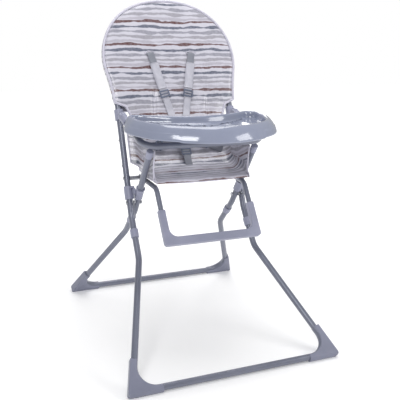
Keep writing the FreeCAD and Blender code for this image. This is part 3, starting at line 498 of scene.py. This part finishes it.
# ---- soft forms ----
def puffed(obj, voxel, pressure, cap, hold=None):
    """Blows a closed form up like stitched padding. hold(points) is True where it is sewn down."""
    if voxel:
        remesh = obj.modifiers.new("remesh", "REMESH")
        remesh.mode = "VOXEL"
        remesh.voxel_size = voxel
        apply_modifiers(obj)
    start = vertices_of(obj)
    scene = bpy.context.scene
    cloth = obj.modifiers.new("cloth", "CLOTH")
    settings = cloth.settings
    settings.quality = 4
    settings.mass = 0.3
    settings.tension_stiffness = 12.0
    settings.compression_stiffness = 12.0
    settings.shear_stiffness = 4.0
    settings.bending_stiffness = 0.3
    settings.use_pressure = True
    settings.uniform_pressure_force = pressure
    settings.effector_weights.gravity = 0.0
    cloth.collision_settings.use_collision = False
    if hold is not None:
        group = obj.vertex_groups.new(name="sewn")
        group.add([int(i) for i in np.nonzero(hold(start))[0]], 1.0, "REPLACE")
        settings.vertex_group_mass = "sewn"
    scene.frame_start, scene.frame_end = 1, 20
    for number in range(1, 21):
        scene.frame_set(number)
    apply_modifiers(obj)
    obj.vertex_groups.clear()
    move = vertices_of(obj) - start
    reach = np.linalg.norm(move, axis=1)
    limit = cap * np.tanh(reach / cap)
    set_vertices(obj, start + move * (limit / np.maximum(reach, 1e-9))[:, None])
    scene.frame_set(1)
    return obj


# ---- the hoop and the cover's outline ----
HOOP_START = 0.310
HALF_SPACING = 0.200
CROWN_TURN = -70.0
HOOP_ARCS = ((0.0, 14.1, 0.488, 1.0), (14.1, CROWN_TURN, 0.184, -1.0), (CROWN_TURN, -90.0, None, -1.0))


def hoop_line(offset, steps=14):
    """The right-hand half hoop, offset outwards, from the straight side to the crown: (x, a) points."""
    x, a = HALF_SPACING + offset, HOOP_START
    points = [(x, a)]
    for first, last, radius, side in HOOP_ARCS:
        h0 = math.radians(first)
        r = x / math.cos(h0) if radius is None else radius - side * offset
        cx, ca = x + side * r * math.cos(h0), a - side * r * math.sin(h0)
        for angle in np.radians(np.linspace(first, last, steps + 1))[1:]:
            points.append((cx - side * r * math.cos(angle), ca + side * r * math.sin(angle)))
        x, a = points[-1]
    return np.array(points)


def outline_of(lower, offset):
    """A closed outline, anticlockwise from the bottom middle. lower lists the right-hand corners."""
    hoop = hoop_line(offset)
    hoop = hoop[hoop[:, 1] > lower[-1][1] + 0.004]
    right = np.vstack([np.array(lower), hoop])
    left = right[::-1] * [-1.0, 1.0]
    points = np.vstack([right, left[1:]])
    full = np.c_[points, np.zeros(len(points))]
    return resampled(full, 0.008, True)[:, :2]


PAD_LOWER = [(0.156, 0.100), (0.156, 0.262), (0.178, 0.314), (0.2125, 0.328)]
PAD_BACK = 0.0115        # the cover's faces, before it is filled
PAD_FACE = 0.0158
PAD_RINGS = 26
PANEL_LOWER = [(0.182, 0.304), (0.2125, 0.328)]


def scaled_outline(outline, centre, share):
    return centre + (outline - centre) * share


def back_pad_form():
    """The closed starting form of the back pad, a little smaller than the finished pad."""
    outline = outline_of(PAD_LOWER, 0.0105)
    centre = np.array([0.0, 0.400])
    rings = []
    inner = list(np.linspace(0.02, 0.955, PAD_RINGS))
    profile = [(share, PAD_BACK) for share in inner]
    profile += [(0.985, PAD_BACK + 0.0002), (1.0, PAD_BACK + 0.0014), (1.0, PAD_FACE - 0.0016),
                (0.985, PAD_FACE - 0.0004)]
    profile += [(share, PAD_FACE) for share in reversed(inner)]
    for share, p in profile:
        ring = scaled_outline(outline, centre, share)
        rings.append(on_back(ring[:, 0], ring[:, 1], p))
    count = len(outline)
    faces = grid_faces(len(rings), count, False, True)
    faces.append(tuple(reversed(range(count))))
    faces.append(tuple(range((len(rings) - 1) * count, len(rings) * count)))
    return mesh_object("back_cover", np.vstack(rings), faces)


SLOT_A = 0.494
SLOT_X = 0.074


def dent_back(obj):
    """Drawn-in slots, a long fold beside the left strap and soft waves over the whole face."""
    points = vertices_of(obj)
    x, a, p = back_coords(points)
    front = smoothstep(PAD_BACK + 0.0015, PAD_FACE - 0.0010, p)
    depth = np.full(len(points), 0.0006)
    for side in (-1.0, 1.0):
        near = ((x - side * SLOT_X) / 0.024) ** 2 + ((a - SLOT_A) / 0.011) ** 2
        depth += 0.0030 * np.exp(-near)
    for fold_x, low, high, size in ((-0.080, 0.19, 0.39, 0.0070), (0.108, 0.17, 0.36, 0.0045),
                                    (-0.02, 0.50, 0.62, 0.0022), (0.06, 0.53, 0.64, 0.0026)):
        bend = fold_x + 0.006 * np.sin(a * 21.0)
        within = smoothstep(low, low + 0.05, a) * (1.0 - smoothstep(high - 0.05, high, a))
        depth += size * within * np.exp(-((x - bend) / 0.007) ** 2)
    depth += 0.0011 * ripple(points, 13.0) + 0.0005 * ripple(points, 34.0, 2.0)
    set_vertices(obj, points - FORWARD * (depth * front)[:, None])


def mark_back(obj):
    x, a, _ = back_coords(vertices_of(obj))
    mark_cloth(obj, x, a - PRINT_START)


def make_back_cover():
    obj = back_pad_form()
    puffed(obj, None, 3.0, 0.0038, lambda points: back_coords(points)[2] < PAD_BACK + 0.0010)
    subdivided(obj)
    dent_back(obj)
    mark_back(obj)
    finished(obj, PRINT, "frame", ["back_pad"])
    return obj


# offset from the hoop line and height p of each ring, from the front seam round to the rear
PANEL_WRAP = ((0.0118, 0.0135), (0.0148, 0.0075), (0.0150, 0.0), (0.0125, -0.0078), (0.0060, -0.0120))
PANEL_CENTRE = np.array([0.0, 0.470])
PANEL_REAR = -0.0128
HEM_A, HEM_P = 0.322, -0.0105


def make_rear_panel():
    """The pocket's rear side: it wraps the hoop from the front seam and hangs open at its hem."""
    rings = []
    for offset, p in PANEL_WRAP:
        ring = outline_of(PANEL_LOWER, offset)
        ring = resampled(np.c_[ring, np.zeros(len(ring))], 0.008, True)[:, :2]
        rings.append((ring, p))
    count = min(len(ring) for ring, _ in rings)
    made = []
    for ring, p in rings:
        index = np.linspace(0, len(ring), count, endpoint=False)
        closed = np.vstack([ring, ring[:1]])
        ring = np.stack([np.interp(index, np.arange(len(closed)), closed[:, k]) for k in range(2)], 1)
        hem = ring[:, 1] < HEM_A
        made.append(on_back(ring[:, 0], ring[:, 1], np.where(hem, np.minimum(p, HEM_P), p)))
    last = ring
    for share in (0.94, 0.8, 0.6, 0.4, 0.2, 0.02):
        inner = scaled_outline(last, PANEL_CENTRE, share)
        sag = PANEL_REAR + 0.0010 * math.cos(share * 3.0)
        made.append(on_back(inner[:, 0], inner[:, 1], sag))
    faces = grid_faces(len(made), count, False, True)
    faces.append(tuple(range((len(made) - 1) * count, len(made) * count)))
    obj = mesh_object("rear_panel", np.vstack(made), faces)
    subdivided(obj)
    points = vertices_of(obj)
    calm = smoothstep(-0.009, -0.012, back_coords(points)[2])
    set_vertices(obj, points + FORWARD * (0.0008 * ripple(points, 11.0, 4.0) * calm)[:, None])
    solidified(obj, 0.0014, 0.0)
    mark_back(obj)
    return finished(obj, PRINT, "frame", ["back_rear_panel"])


def outline_on_back(lower, offset, p):
    ring = outline_of(lower, offset)
    return on_back(ring[:, 0], ring[:, 1], p)


def make_back_trim():
    rim = outline_on_back(PAD_LOWER, 0.0125, PAD_FACE - 0.0018)
    finished(piping("back_piping", rim, 0.0042, True), BINDING, "frame")
    seam = outline_on_back(PAD_LOWER, 0.0045, PAD_FACE + 0.0016)
    finished(tack_row("back_stitches", seam, FORWARD), THREAD, "frame")
    hem_points = on_back(np.linspace(-0.182, 0.182, 60), 0.304, -0.0125)
    finished(piping("rear_hem", hem_points, 0.0026), BINDING, "frame")
    for side, word in ((-1.0, "left"), (1.0, "right")):
        angles = np.linspace(0.0, 2.0 * math.pi, 40, endpoint=False)
        ring = on_back(side * SLOT_X + 0.0175 * np.cos(angles) * (1.0 + 0.12 * np.cos(4 * angles)),
                       SLOT_A + 0.0058 * np.sin(angles), PAD_FACE + 0.0012)
        finished(piping("slot_edge_" + word, ring, 0.0013, True, 8, 0.003), BINDING, "frame")


# ---- seat ----
SEAT_FRONT = -0.062
SEAT_REAR = 0.078
SEAT_TOP = 0.5225
SEAT_HALF = 0.150


def make_seat_base():
    """The seat cushion: flat on the rails, crowned above, with a rolled front edge."""
    rows, columns = 26, 34
    top, low = [], []
    ys = np.linspace(SEAT_FRONT, SEAT_REAR, rows)
    for y in ys:
        front = 1.0 - smoothstep(SEAT_FRONT, SEAT_FRONT + 0.026, y)
        half = SEAT_HALF + 0.012 * front
        for s in np.linspace(-1.0, 1.0, columns):
            edge = smoothstep(0.82, 1.0, abs(s))
            top.append((s * half, y, SEAT_TOP - 0.001 * front - 0.004 * edge - 0.002 * (1.0 - s * s)))
            low.append((s * half, y, 0.5075 + 0.0050 * front))
    count = rows * columns
    faces = grid_faces(rows, columns)
    faces += [tuple(count + i for i in reversed(face)) for face in grid_faces(rows, columns)]
    border = [i for i in range(columns)]
    border += [r * columns + columns - 1 for r in range(1, rows)]
    border += [(rows - 1) * columns + c for c in range(columns - 2, -1, -1)]
    border += [r * columns for r in range(rows - 2, 0, -1)]
    for i, vertex in enumerate(border):
        after = border[(i + 1) % len(border)]
        faces.append((vertex, count + vertex, count + after, after))
    obj = mesh_object("seat_base", np.array(top + low), [tuple(reversed(face)) for face in faces])
    puffed(obj, 0.005, 3.0, 0.004, lambda points: points[:, 2] < 0.5090)
    subdivided(obj)
    points = vertices_of(obj)
    upper = smoothstep(0.512, 0.518, points[:, 2])
    wave = 0.0016 * ripple(points * [0.5, 1.0, 1.0], 22.0, 5.0) + 0.0007 * ripple(points, 60.0, 6.0)
    points[:, 2] += wave * upper
    set_vertices(obj, points)
    drop = np.maximum(0.0, SEAT_TOP - 0.004 - points[:, 2])
    mark_cloth(obj, points[:, 0], 0.035 + points[:, 1] - np.where(points[:, 1] < -0.04, drop, 0.0))
    finished(obj, PRINT, "seat", ["seat_pad", "seat_valance"])
    line = [(-SEAT_HALF - 0.013, SEAT_FRONT + 0.002, 0.5260), (-0.135, SEAT_FRONT - 0.003, 0.5150),
            (0.0, SEAT_FRONT - 0.0055, 0.5125), (0.135, SEAT_FRONT - 0.003, 0.5150),
            (SEAT_HALF + 0.013, SEAT_FRONT + 0.002, 0.5260)]
    finished(piping("seat_piping", rounded_line(line, 4), 0.0028), BINDING, "seat")


# ---- side wings ----
WING_BLEND = ((0.0, 0.090, 0.590), (0.0, -0.020, 0.530))
WING_X = 0.1600
WING_FLARE = 0.0265


def wing_edges():
    """The wing's four edges as (y, z) lines: top, bottom, front, rear."""
    rear_a = np.linspace(0.262, 0.130, 12)
    rear = on_back(0.0, rear_a, 0.006)[:, 1:]
    front = np.array([(-0.060, 0.6175), (-0.0550, 0.588), (-0.0520, 0.556), (-0.0580, 0.5215)])
    bottom = rounded_line(np.array([(0, -0.0580, 0.5215), (0, 0.010, 0.5180), (0, 0.070, 0.521),
                                    (0, *rear[-1])]), 3)
    top_y = np.linspace(front[0][0], rear[0][0], 20)
    blend = np.linspace(0.0, 1.0, 20)
    top_z = front[0][1] + (rear[0][1] - front[0][1]) * blend
    top = np.stack([np.zeros(20), top_y, top_z], 1)
    return top, bottom, np.c_[np.zeros(len(front)), front], np.c_[np.zeros(len(rear)), rear]


def make_wing(side, word):
    rows, columns = 22, 34
    top, bottom, front, rear = [resampled(line, 1e-9 + np.linalg.norm(np.diff(line, axis=0), axis=1).sum()
                                          / ((columns if k < 2 else rows) - 1))
                                for k, line in enumerate(wing_edges())]
    points = np.empty((rows, columns, 3))
    for i in range(rows):
        t = i / (rows - 1)
        for j in range(columns):
            s = j / (columns - 1)
            ruled = (1 - t) * top[j] + t * bottom[j] + (1 - s) * front[i] + s * rear[i]
            corners = ((1 - t) * (1 - s) * top[0] + (1 - t) * s * top[-1]
                       + t * (1 - s) * bottom[0] + t * s * bottom[-1])
            points[i, j] = ruled - corners
    flat = points.reshape(-1, 3)
    p = back_coords(flat)[2]
    t = np.repeat(np.linspace(0, 1, rows), columns)
    s = np.tile(np.linspace(0, 1, columns), rows)
    belly = np.sin(np.pi * t) * np.sin(np.pi * s)
    x = WING_X + WING_FLARE * (1.0 - smoothstep(0.002, 0.018, p)) - 0.0030 * belly
    x += 0.0012 * np.sin(38.0 * flat[:, 1] + 60.0 * flat[:, 2]) * belly
    flat[:, 0] = x
    v = flat[:, 2] + 0.16 * flat[:, 1] + 0.020 * belly - 0.500
    faces = grid_faces(rows, columns)
    turned = faces if side > 0 else [face[::-1] for face in faces]
    obj = mesh_object("wing_" + word, flat * [side, 1.0, 1.0], turned)
    mark_cloth(obj, flat[:, 1], v)
    subdivided(obj)
    solidified(obj, 0.0014, 0.0)
    give(obj, PRINT)
    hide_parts("side_wing_" + word)
    seam = np.concatenate([flat.reshape(rows, columns, 3)[:, 0], flat.reshape(rows, columns, 3)[-1, 1:],
                           flat.reshape(rows, columns, 3)[::-1, -1][1:]])
    trim = piping("wing_piping_" + word, seam * [side, 1.0, 1.0], 0.0024)
    give(trim, BINDING)
    for piece in (obj, trim):
        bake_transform(piece, "frame", "seat", *WING_BLEND)


# ---- the bowl: the cover's lower part, curving from the back over the seat and up the wings ----
BOWL_SIDE = 0.1575
BOWL_CURVE = 0.036


def bowl_path():
    """Down the face of the back pad, forward over the seat and round its front edge: (y, z)."""
    high = on_back(0.0, 0.258, PAD_FACE)[1:]
    low = on_back(0.0, 0.112, PAD_FACE)[1:]
    points = [(0.0, *high), (0.0, *low), (0.0, SEAT_FRONT + 0.010, SEAT_TOP),
              (0.0, SEAT_FRONT - 0.0045, 0.5215), (0.0, SEAT_FRONT - 0.0050, 0.5145)]
    return resampled(rounded_line(points, 4), 0.005)


def make_bowl():
    path = bowl_path()
    tangents = path_frames(path)
    normals = np.stack([np.zeros(len(path)), -tangents[:, 2], tangents[:, 1]], 1)
    if normals[0][1] > 0:
        normals = -normals
    on_pad = smoothstep(0.118, 0.150, back_coords(path)[1])
    lift = 0.0035 - 0.0075 * on_pad
    front = smoothstep(SEAT_FRONT + 0.020, SEAT_FRONT + 0.002, path[:, 1])
    curve = BOWL_CURVE * (1.0 - 0.75 * front)
    bend = np.linspace(0.0, 1.0, 9)
    level = np.linspace(1.0, -1.0, 26)[1:-1]
    rows = []
    for point, normal, raise_by, reach in zip(path, normals, lift, curve):
        wall = np.array([BOWL_SIDE, 0, 0]) + point + normal * reach
        corner = np.array([BOWL_SIDE, 0, 0]) + point + normal * raise_by
        base = np.array([BOWL_SIDE - max(reach, 0.012), 0, 0]) + point + normal * raise_by
        side = np.array([(1 - t) ** 2 * wall + 2 * t * (1 - t) * corner + t * t * base for t in bend])
        flat = point + normal * raise_by + level[:, None] * (base[0] * ACROSS)
        rows.append(np.vstack([side, flat, side[::-1] * [-1.0, 1.0, 1.0]]))
    count = len(rows[0])
    grid = np.array(rows)
    points = grid.reshape(-1, 3)
    run = np.repeat(np.arange(len(path)) * 0.005, count)
    spread = np.r_[0.0, np.cumsum(np.linalg.norm(np.diff(grid[8], axis=0), axis=1))]
    across = np.tile(spread - spread[-1] / 2.0, len(path))
    wrinkle = 0.0012 * ripple(np.c_[across, run, run * 0.0], 45.0, 8.0)
    fold = 0.0020 * np.sin(across * 70.0 + 3.0 * np.sin(run * 40.0)) * np.repeat(1.0 - on_pad, count)
    fold = fold * smoothstep(0.090, 0.130, np.abs(across))
    points = points + np.repeat(normals, count, axis=0) * (np.maximum(wrinkle + fold, -0.0015))[:, None]
    obj = mesh_object("seat_bowl", points, grid_faces(len(path), count))
    mark_cloth(obj, across, 0.262 - run - PRINT_START)
    subdivided(obj)
    solidified(obj, 0.0012, 0.0)
    give(obj, PRINT)
    rims = []
    for word, edge in (("left", points.reshape(len(path), count, 3)[:, -1]),
                       ("right", points.reshape(len(path), count, 3)[:, 0])):
        rim = piping("bowl_seam_" + word, edge, 0.0014)
        give(rim, BINDING)
        rims.append(rim)
    for piece in [obj] + rims:
        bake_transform(piece, "frame", "seat", *WING_BLEND)


# ---- harness ----
BUCKLE_A = 0.206
STRAP_P = 0.0206
STRAP_WIDTH = 0.025


def harness_line(start, end, p, sag=0.0, count=24):
    t = np.linspace(0.0, 1.0, count)
    x = start[0] + (end[0] - start[0]) * t
    a = start[1] + (end[1] - start[1]) * t
    return on_back(x, a, p + sag * np.sin(math.pi * t) + 0.0004 * np.sin(9.0 * t))


def make_shoulder(side, word):
    top = (side * SLOT_X, SLOT_A)
    low = (side * 0.015, BUCKLE_A + 0.022)

    def at(share):
        return (top[0] + (low[0] - top[0]) * share, top[1] + (low[1] - top[1]) * share)

    entry = on_back([top[0], top[0]], [top[1] + 0.0005, top[1]], [0.010, STRAP_P - 0.0018])
    upper = np.vstack([entry, harness_line(at(0.01), at(0.15), STRAP_P)])
    finished(ribbon("shoulder_webbing_" + word, rounded_line(upper, 2), FORWARD, STRAP_WIDTH, 0.0016),
             STRAP_GREY, "frame", ["shoulder_strap_" + word])
    lower = harness_line(at(0.13), at(1.0), STRAP_P)
    finished(ribbon("shoulder_lower_" + word, lower, FORWARD, STRAP_WIDTH, 0.0016),
             SLEEVE_CLOTH, "frame")
    pad_line = harness_line(at(0.14), at(0.47), STRAP_P)
    sleeve = ribbon("shoulder_sleeve_cover_" + word, pad_line, FORWARD, 0.0305, 0.0026, 0.0032)
    finished(sleeve, SLEEVE_CLOTH, "frame", ["shoulder_sleeve_" + word])
    heading = np.array(low) - np.array(top)
    heading /= np.linalg.norm(heading)
    normal = np.array([heading[1], -heading[0]])
    for number, shift in enumerate((-0.0118, 0.0118)):
        ends = [np.array(at(0.15)) + normal * shift, np.array(at(0.46)) + normal * shift]
        line = on_back([ends[0][0], ends[1][0]], [ends[0][1], ends[1][1]], STRAP_P + 0.0040)
        finished(tack_row("sleeve_stitch_%s_%d" % (word, number), line, FORWARD), THREAD, "frame")
        ends = [np.array(at(0.60)) + normal * shift * 0.85, np.array(at(0.97)) + normal * shift * 0.85]
        line = on_back([ends[0][0], ends[1][0]], [ends[0][1], ends[1][1]], STRAP_P + 0.0018)
        finished(tack_row("strap_stitch_%s_%d" % (word, number), line, FORWARD), THREAD, "frame")


def make_waist(side, word):
    start, end = (side * 0.148, 0.150), (side * 0.031, BUCKLE_A - 0.007)
    finished(ribbon("waist_webbing_" + word, harness_line(start, end, STRAP_P), FORWARD, STRAP_WIDTH, 0.0016),
             STRAP_GREY, "frame", ["waist_strap_" + word])


def make_crotch():
    top = on_back(0.0, BUCKLE_A - 0.024, 0.030)
    low = np.array([0.0, 0.044, 0.5235])
    t = np.linspace(0.0, 1.0, 20)[:, None]
    line = low + (top - low) * t
    run = (top - low) / np.linalg.norm(top - low)
    out = np.array([0.0, -run[2], run[1]])
    line = line + out * (0.004 * np.sin(math.pi * t))
    strap = ribbon("crotch_webbing", line, out, STRAP_WIDTH, 0.0016)
    # The crotch strap takes the lighter copy of the webbing, which is painted light rather than a different tape.
    give(strap, STRAP_LIT_COPY)
    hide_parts("crotch_strap")
    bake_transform(strap, "frame", "seat", tuple(top), tuple(low))


# ---- tray ----
TRAY_FLOOR = 0.688


def arc_points(p, q, r, count):
    """Points on the circle through p, q and r, from p to r."""
    (ax, ay), (bx, by), (cx, cy) = p, q, r
    d = 2.0 * (ax * (by - cy) + bx * (cy - ay) + cx * (ay - by))
    a2, b2, c2 = ax * ax + ay * ay, bx * bx + by * by, cx * cx + cy * cy
    ux = (a2 * (by - cy) + b2 * (cy - ay) + c2 * (ay - by)) / d
    uy = (a2 * (cx - bx) + b2 * (ax - cx) + c2 * (bx - ax)) / d
    radius = math.hypot(ax - ux, ay - uy)
    start, middle, end = (math.atan2(y - uy, x - ux) for x, y in (p, q, r))
    while middle < start:
        middle += 2.0 * math.pi
    while end < start:
        end += 2.0 * math.pi
    if middle > end:
        end -= 2.0 * math.pi
    angles = np.linspace(start, end, count)
    return np.stack([ux + radius * np.cos(angles), uy + radius * np.sin(angles)], 1)


def tray_outline():
    """The tray's edge, anticlockwise from the front middle."""
    shoulder, side_end = (0.150, -0.196), (0.232, -0.092)
    horn, rear_end = (0.226, 0.024), (0.158, 0.028)
    front = arc_points((-0.150, -0.196), (0.0, -0.246), shoulder, 61)[30:]
    right = np.vstack([
        front,
        arc_points(shoulder, (0.201, -0.154), side_end, 20)[1:],
        arc_points(side_end, (0.246, -0.030), horn, 20)[1:],
        arc_points(horn, (0.196, 0.045), rear_end, 16)[1:],
        arc_points(rear_end, (0.0, 0.0), (-0.158, 0.028), 41)[1:21],
    ])
    left = right[::-1][1:-1] * [-1.0, 1.0]
    outline = np.vstack([right, left])
    full = resampled(np.c_[outline, np.zeros(len(outline))], 0.008, True)[:, :2]
    for _ in range(6):
        full = 0.5 * full + 0.25 * (np.roll(full, 1, 0) + np.roll(full, -1, 0))
    return full


# Offset inwards from the edge and height, for the rear of the rim and for its broad front lip.
RIM_REAR = ((0.0030, 0.6860), (0.0022, 0.6850), (0.0006, 0.6860), (0.0000, 0.6900), (0.0004, 0.6985),
            (0.0020, 0.7065), (0.0052, 0.7108), (0.0088, 0.7120), (0.0122, 0.7108), (0.0146, 0.7070),
            (0.0162, 0.7000), (0.0178, 0.6925), (0.0205, 0.6890), (0.0250, 0.6880))
RIM_FRONT = ((0.0034, 0.6690), (0.0022, 0.6674), (0.0006, 0.6680), (0.0000, 0.6715), (0.0032, 0.6800),
             (0.0090, 0.6915), (0.0165, 0.7030), (0.0245, 0.7100), (0.0315, 0.7120), (0.0365, 0.7100),
             (0.0400, 0.7030), (0.0430, 0.6940), (0.0475, 0.6893), (0.0540, 0.6880))


def make_tray():
    outline = tray_outline()
    count = len(outline)
    tangent = np.roll(outline, -1, 0) - np.roll(outline, 1, 0)
    tangent /= np.linalg.norm(tangent, axis=1)[:, None]
    inward = np.stack([-tangent[:, 1], tangent[:, 0]], 1)
    fullness = 1.0 - smoothstep(-0.015, 0.030, outline[:, 1])
    for _ in range(8):
        fullness = 0.5 * fullness + 0.25 * (np.roll(fullness, 1) + np.roll(fullness, -1))
    rings = []
    for (rear_in, rear_z), (front_in, front_z) in zip(RIM_REAR, RIM_FRONT):
        reach = rear_in + (front_in - rear_in) * fullness
        z = rear_z + (front_z - rear_z) * fullness
        rings.append(np.c_[outline + inward * reach[:, None], z])
    well = rings[-1][:, :2]
    centre = np.array([0.0, -0.095])
    for share in (0.93, 0.8, 0.62, 0.42, 0.22, 0.05):
        inner = scaled_outline(well, centre, share)
        rings.append(np.c_[inner, np.full(count, TRAY_FLOOR)])
    faces = grid_faces(len(rings), count, False, True)
    faces.append(tuple(range((len(rings) - 1) * count, len(rings) * count)))
    obj = mesh_object("tray_shell", np.vstack(rings), faces)
    subdivided(obj, 2)
    points = vertices_of(obj)
    floor = 1.0 - smoothstep(0.6885, 0.6900, points[:, 2])
    ridge = np.zeros(len(points))
    for y in (-0.060, -0.086, -0.112):
        across = np.exp(-((points[:, 1] - y) / 0.0042) ** 2)
        ridge = np.maximum(ridge, across * (1.0 - smoothstep(0.082, 0.094, np.abs(points[:, 0]))))
    step = smoothstep(0.128, 0.140, np.abs(points[:, 0])) * 0.0022
    points[:, 2] += floor * (0.0022 * ridge + step)
    set_vertices(obj, points)
    solidified(obj, 0.0026, 1.0 if points_up(obj) else -1.0)
    finished(obj, TRAY, "tray", ["tray"])


def points_up(obj):
    """Whether the faces' own normals point down, so that the wall is added below."""
    normals = [polygon.normal.z for polygon in obj.data.polygons if abs(polygon.normal.z) > 0.9]
    return sum(normals) < 0


make_back_cover()
make_rear_panel()
make_back_trim()
make_seat_base()
make_bowl()
for side, word in ((-1.0, "left"), (1.0, "right")):
    make_wing(side, word)
    make_shoulder(side, word)
    make_waist(side, word)
make_crotch()
make_tray()


# ---- floor, light and camera ----
def make_stage():
    floor = mesh_object("floor", [(-6, -6, 0), (6, -6, 0), (6, 6, 0), (-6, 6, 0)], [(0, 1, 2, 3)])
    s = Shader("floor_paper")
    where = s.place()
    tone = s.mix(s.noise(where, 2.0, 2.0), colour(0.93, 0.93, 0.935), colour(0.95, 0.95, 0.955))
    distance = s.node("VectorMath", {"operation": "LENGTH"}, **{"0": where}).outputs["Value"]
    glow = s.span(distance, 0.5, 2.6, 0.12, 0.75)
    give(floor, s.finish(Base_Color=tone, Roughness=0.9, Emission_Color=colour(1.0, 1.0, 1.0),
                         Emission_Strength=glow))


def add_light(name, position, target, size, power, tint=(1.0, 1.0, 1.0)):
    data = bpy.data.lights.new(name, "AREA")
    data.shape = "RECTANGLE"
    data.size, data.size_y = size
    data.energy = power
    data.color = tint
    light = bpy.data.objects.new(name, data)
    bpy.context.scene.collection.objects.link(light)
    light.location = position
    light.rotation_euler = (Vector(target) - Vector(position)).to_track_quat("-Z", "Y").to_euler()


def add_world(strength):
    world = bpy.data.worlds.new("studio")
    world.use_nodes = True
    background = world.node_tree.nodes["Background"]
    background.inputs["Color"].default_value = (1.0, 1.0, 1.0, 1.0)
    path = world.node_tree.nodes.new("ShaderNodeLightPath")
    level = world.node_tree.nodes.new("ShaderNodeMapRange")
    level.inputs["To Min"].default_value = strength
    level.inputs["To Max"].default_value = 1.0
    world.node_tree.links.new(path.outputs["Is Camera Ray"], level.inputs["Value"])
    world.node_tree.links.new(level.outputs[0], background.inputs["Strength"])
    bpy.context.scene.world = world


CAMERA_SPOT = (-0.8194, -1.9022, 1.0414)
CAMERA_YAW = 0.4156
CAMERA_PITCH = 0.2857
CAMERA_ROLL = 0.0336
CAMERA_LENS = 59.87


def add_camera():
    forward = Vector((math.sin(CAMERA_YAW) * math.cos(CAMERA_PITCH),
                      math.cos(CAMERA_YAW) * math.cos(CAMERA_PITCH), -math.sin(CAMERA_PITCH)))
    level = forward.cross(Vector((0, 0, 1))).normalized()
    upright = level.cross(forward)
    right = level * math.cos(CAMERA_ROLL) + upright * math.sin(CAMERA_ROLL)
    up = upright * math.cos(CAMERA_ROLL) - level * math.sin(CAMERA_ROLL)
    data = bpy.data.cameras.new("camera")
    data.lens = CAMERA_LENS
    data.sensor_width = 36.0
    camera = bpy.data.objects.new("camera", data)
    bpy.context.scene.collection.objects.link(camera)
    turn = Matrix((right, up, -forward)).transposed().to_4x4()
    camera.matrix_world = Matrix.Translation(CAMERA_SPOT) @ turn
    bpy.context.scene.camera = camera


make_stage()
add_world(0.42)
add_light("key", (-1.6, -2.4, 2.6), (0.0, 0.0, 0.6), (1.4, 0.9), 36.0)
add_light("fill", (2.2, -1.8, 1.9), (0.0, 0.0, 0.6), (1.2, 1.0), 20.0)
add_light("top", (0.2, 0.4, 2.9), (0.0, 0.0, 0.5), (1.6, 1.6), 34.0)
add_light("rear", (0.6, 2.4, 1.8), (0.0, 0.1, 0.6), (1.6, 1.2), 14.0)
bpy.context.scene.view_settings.view_transform = "Standard"
add_camera()
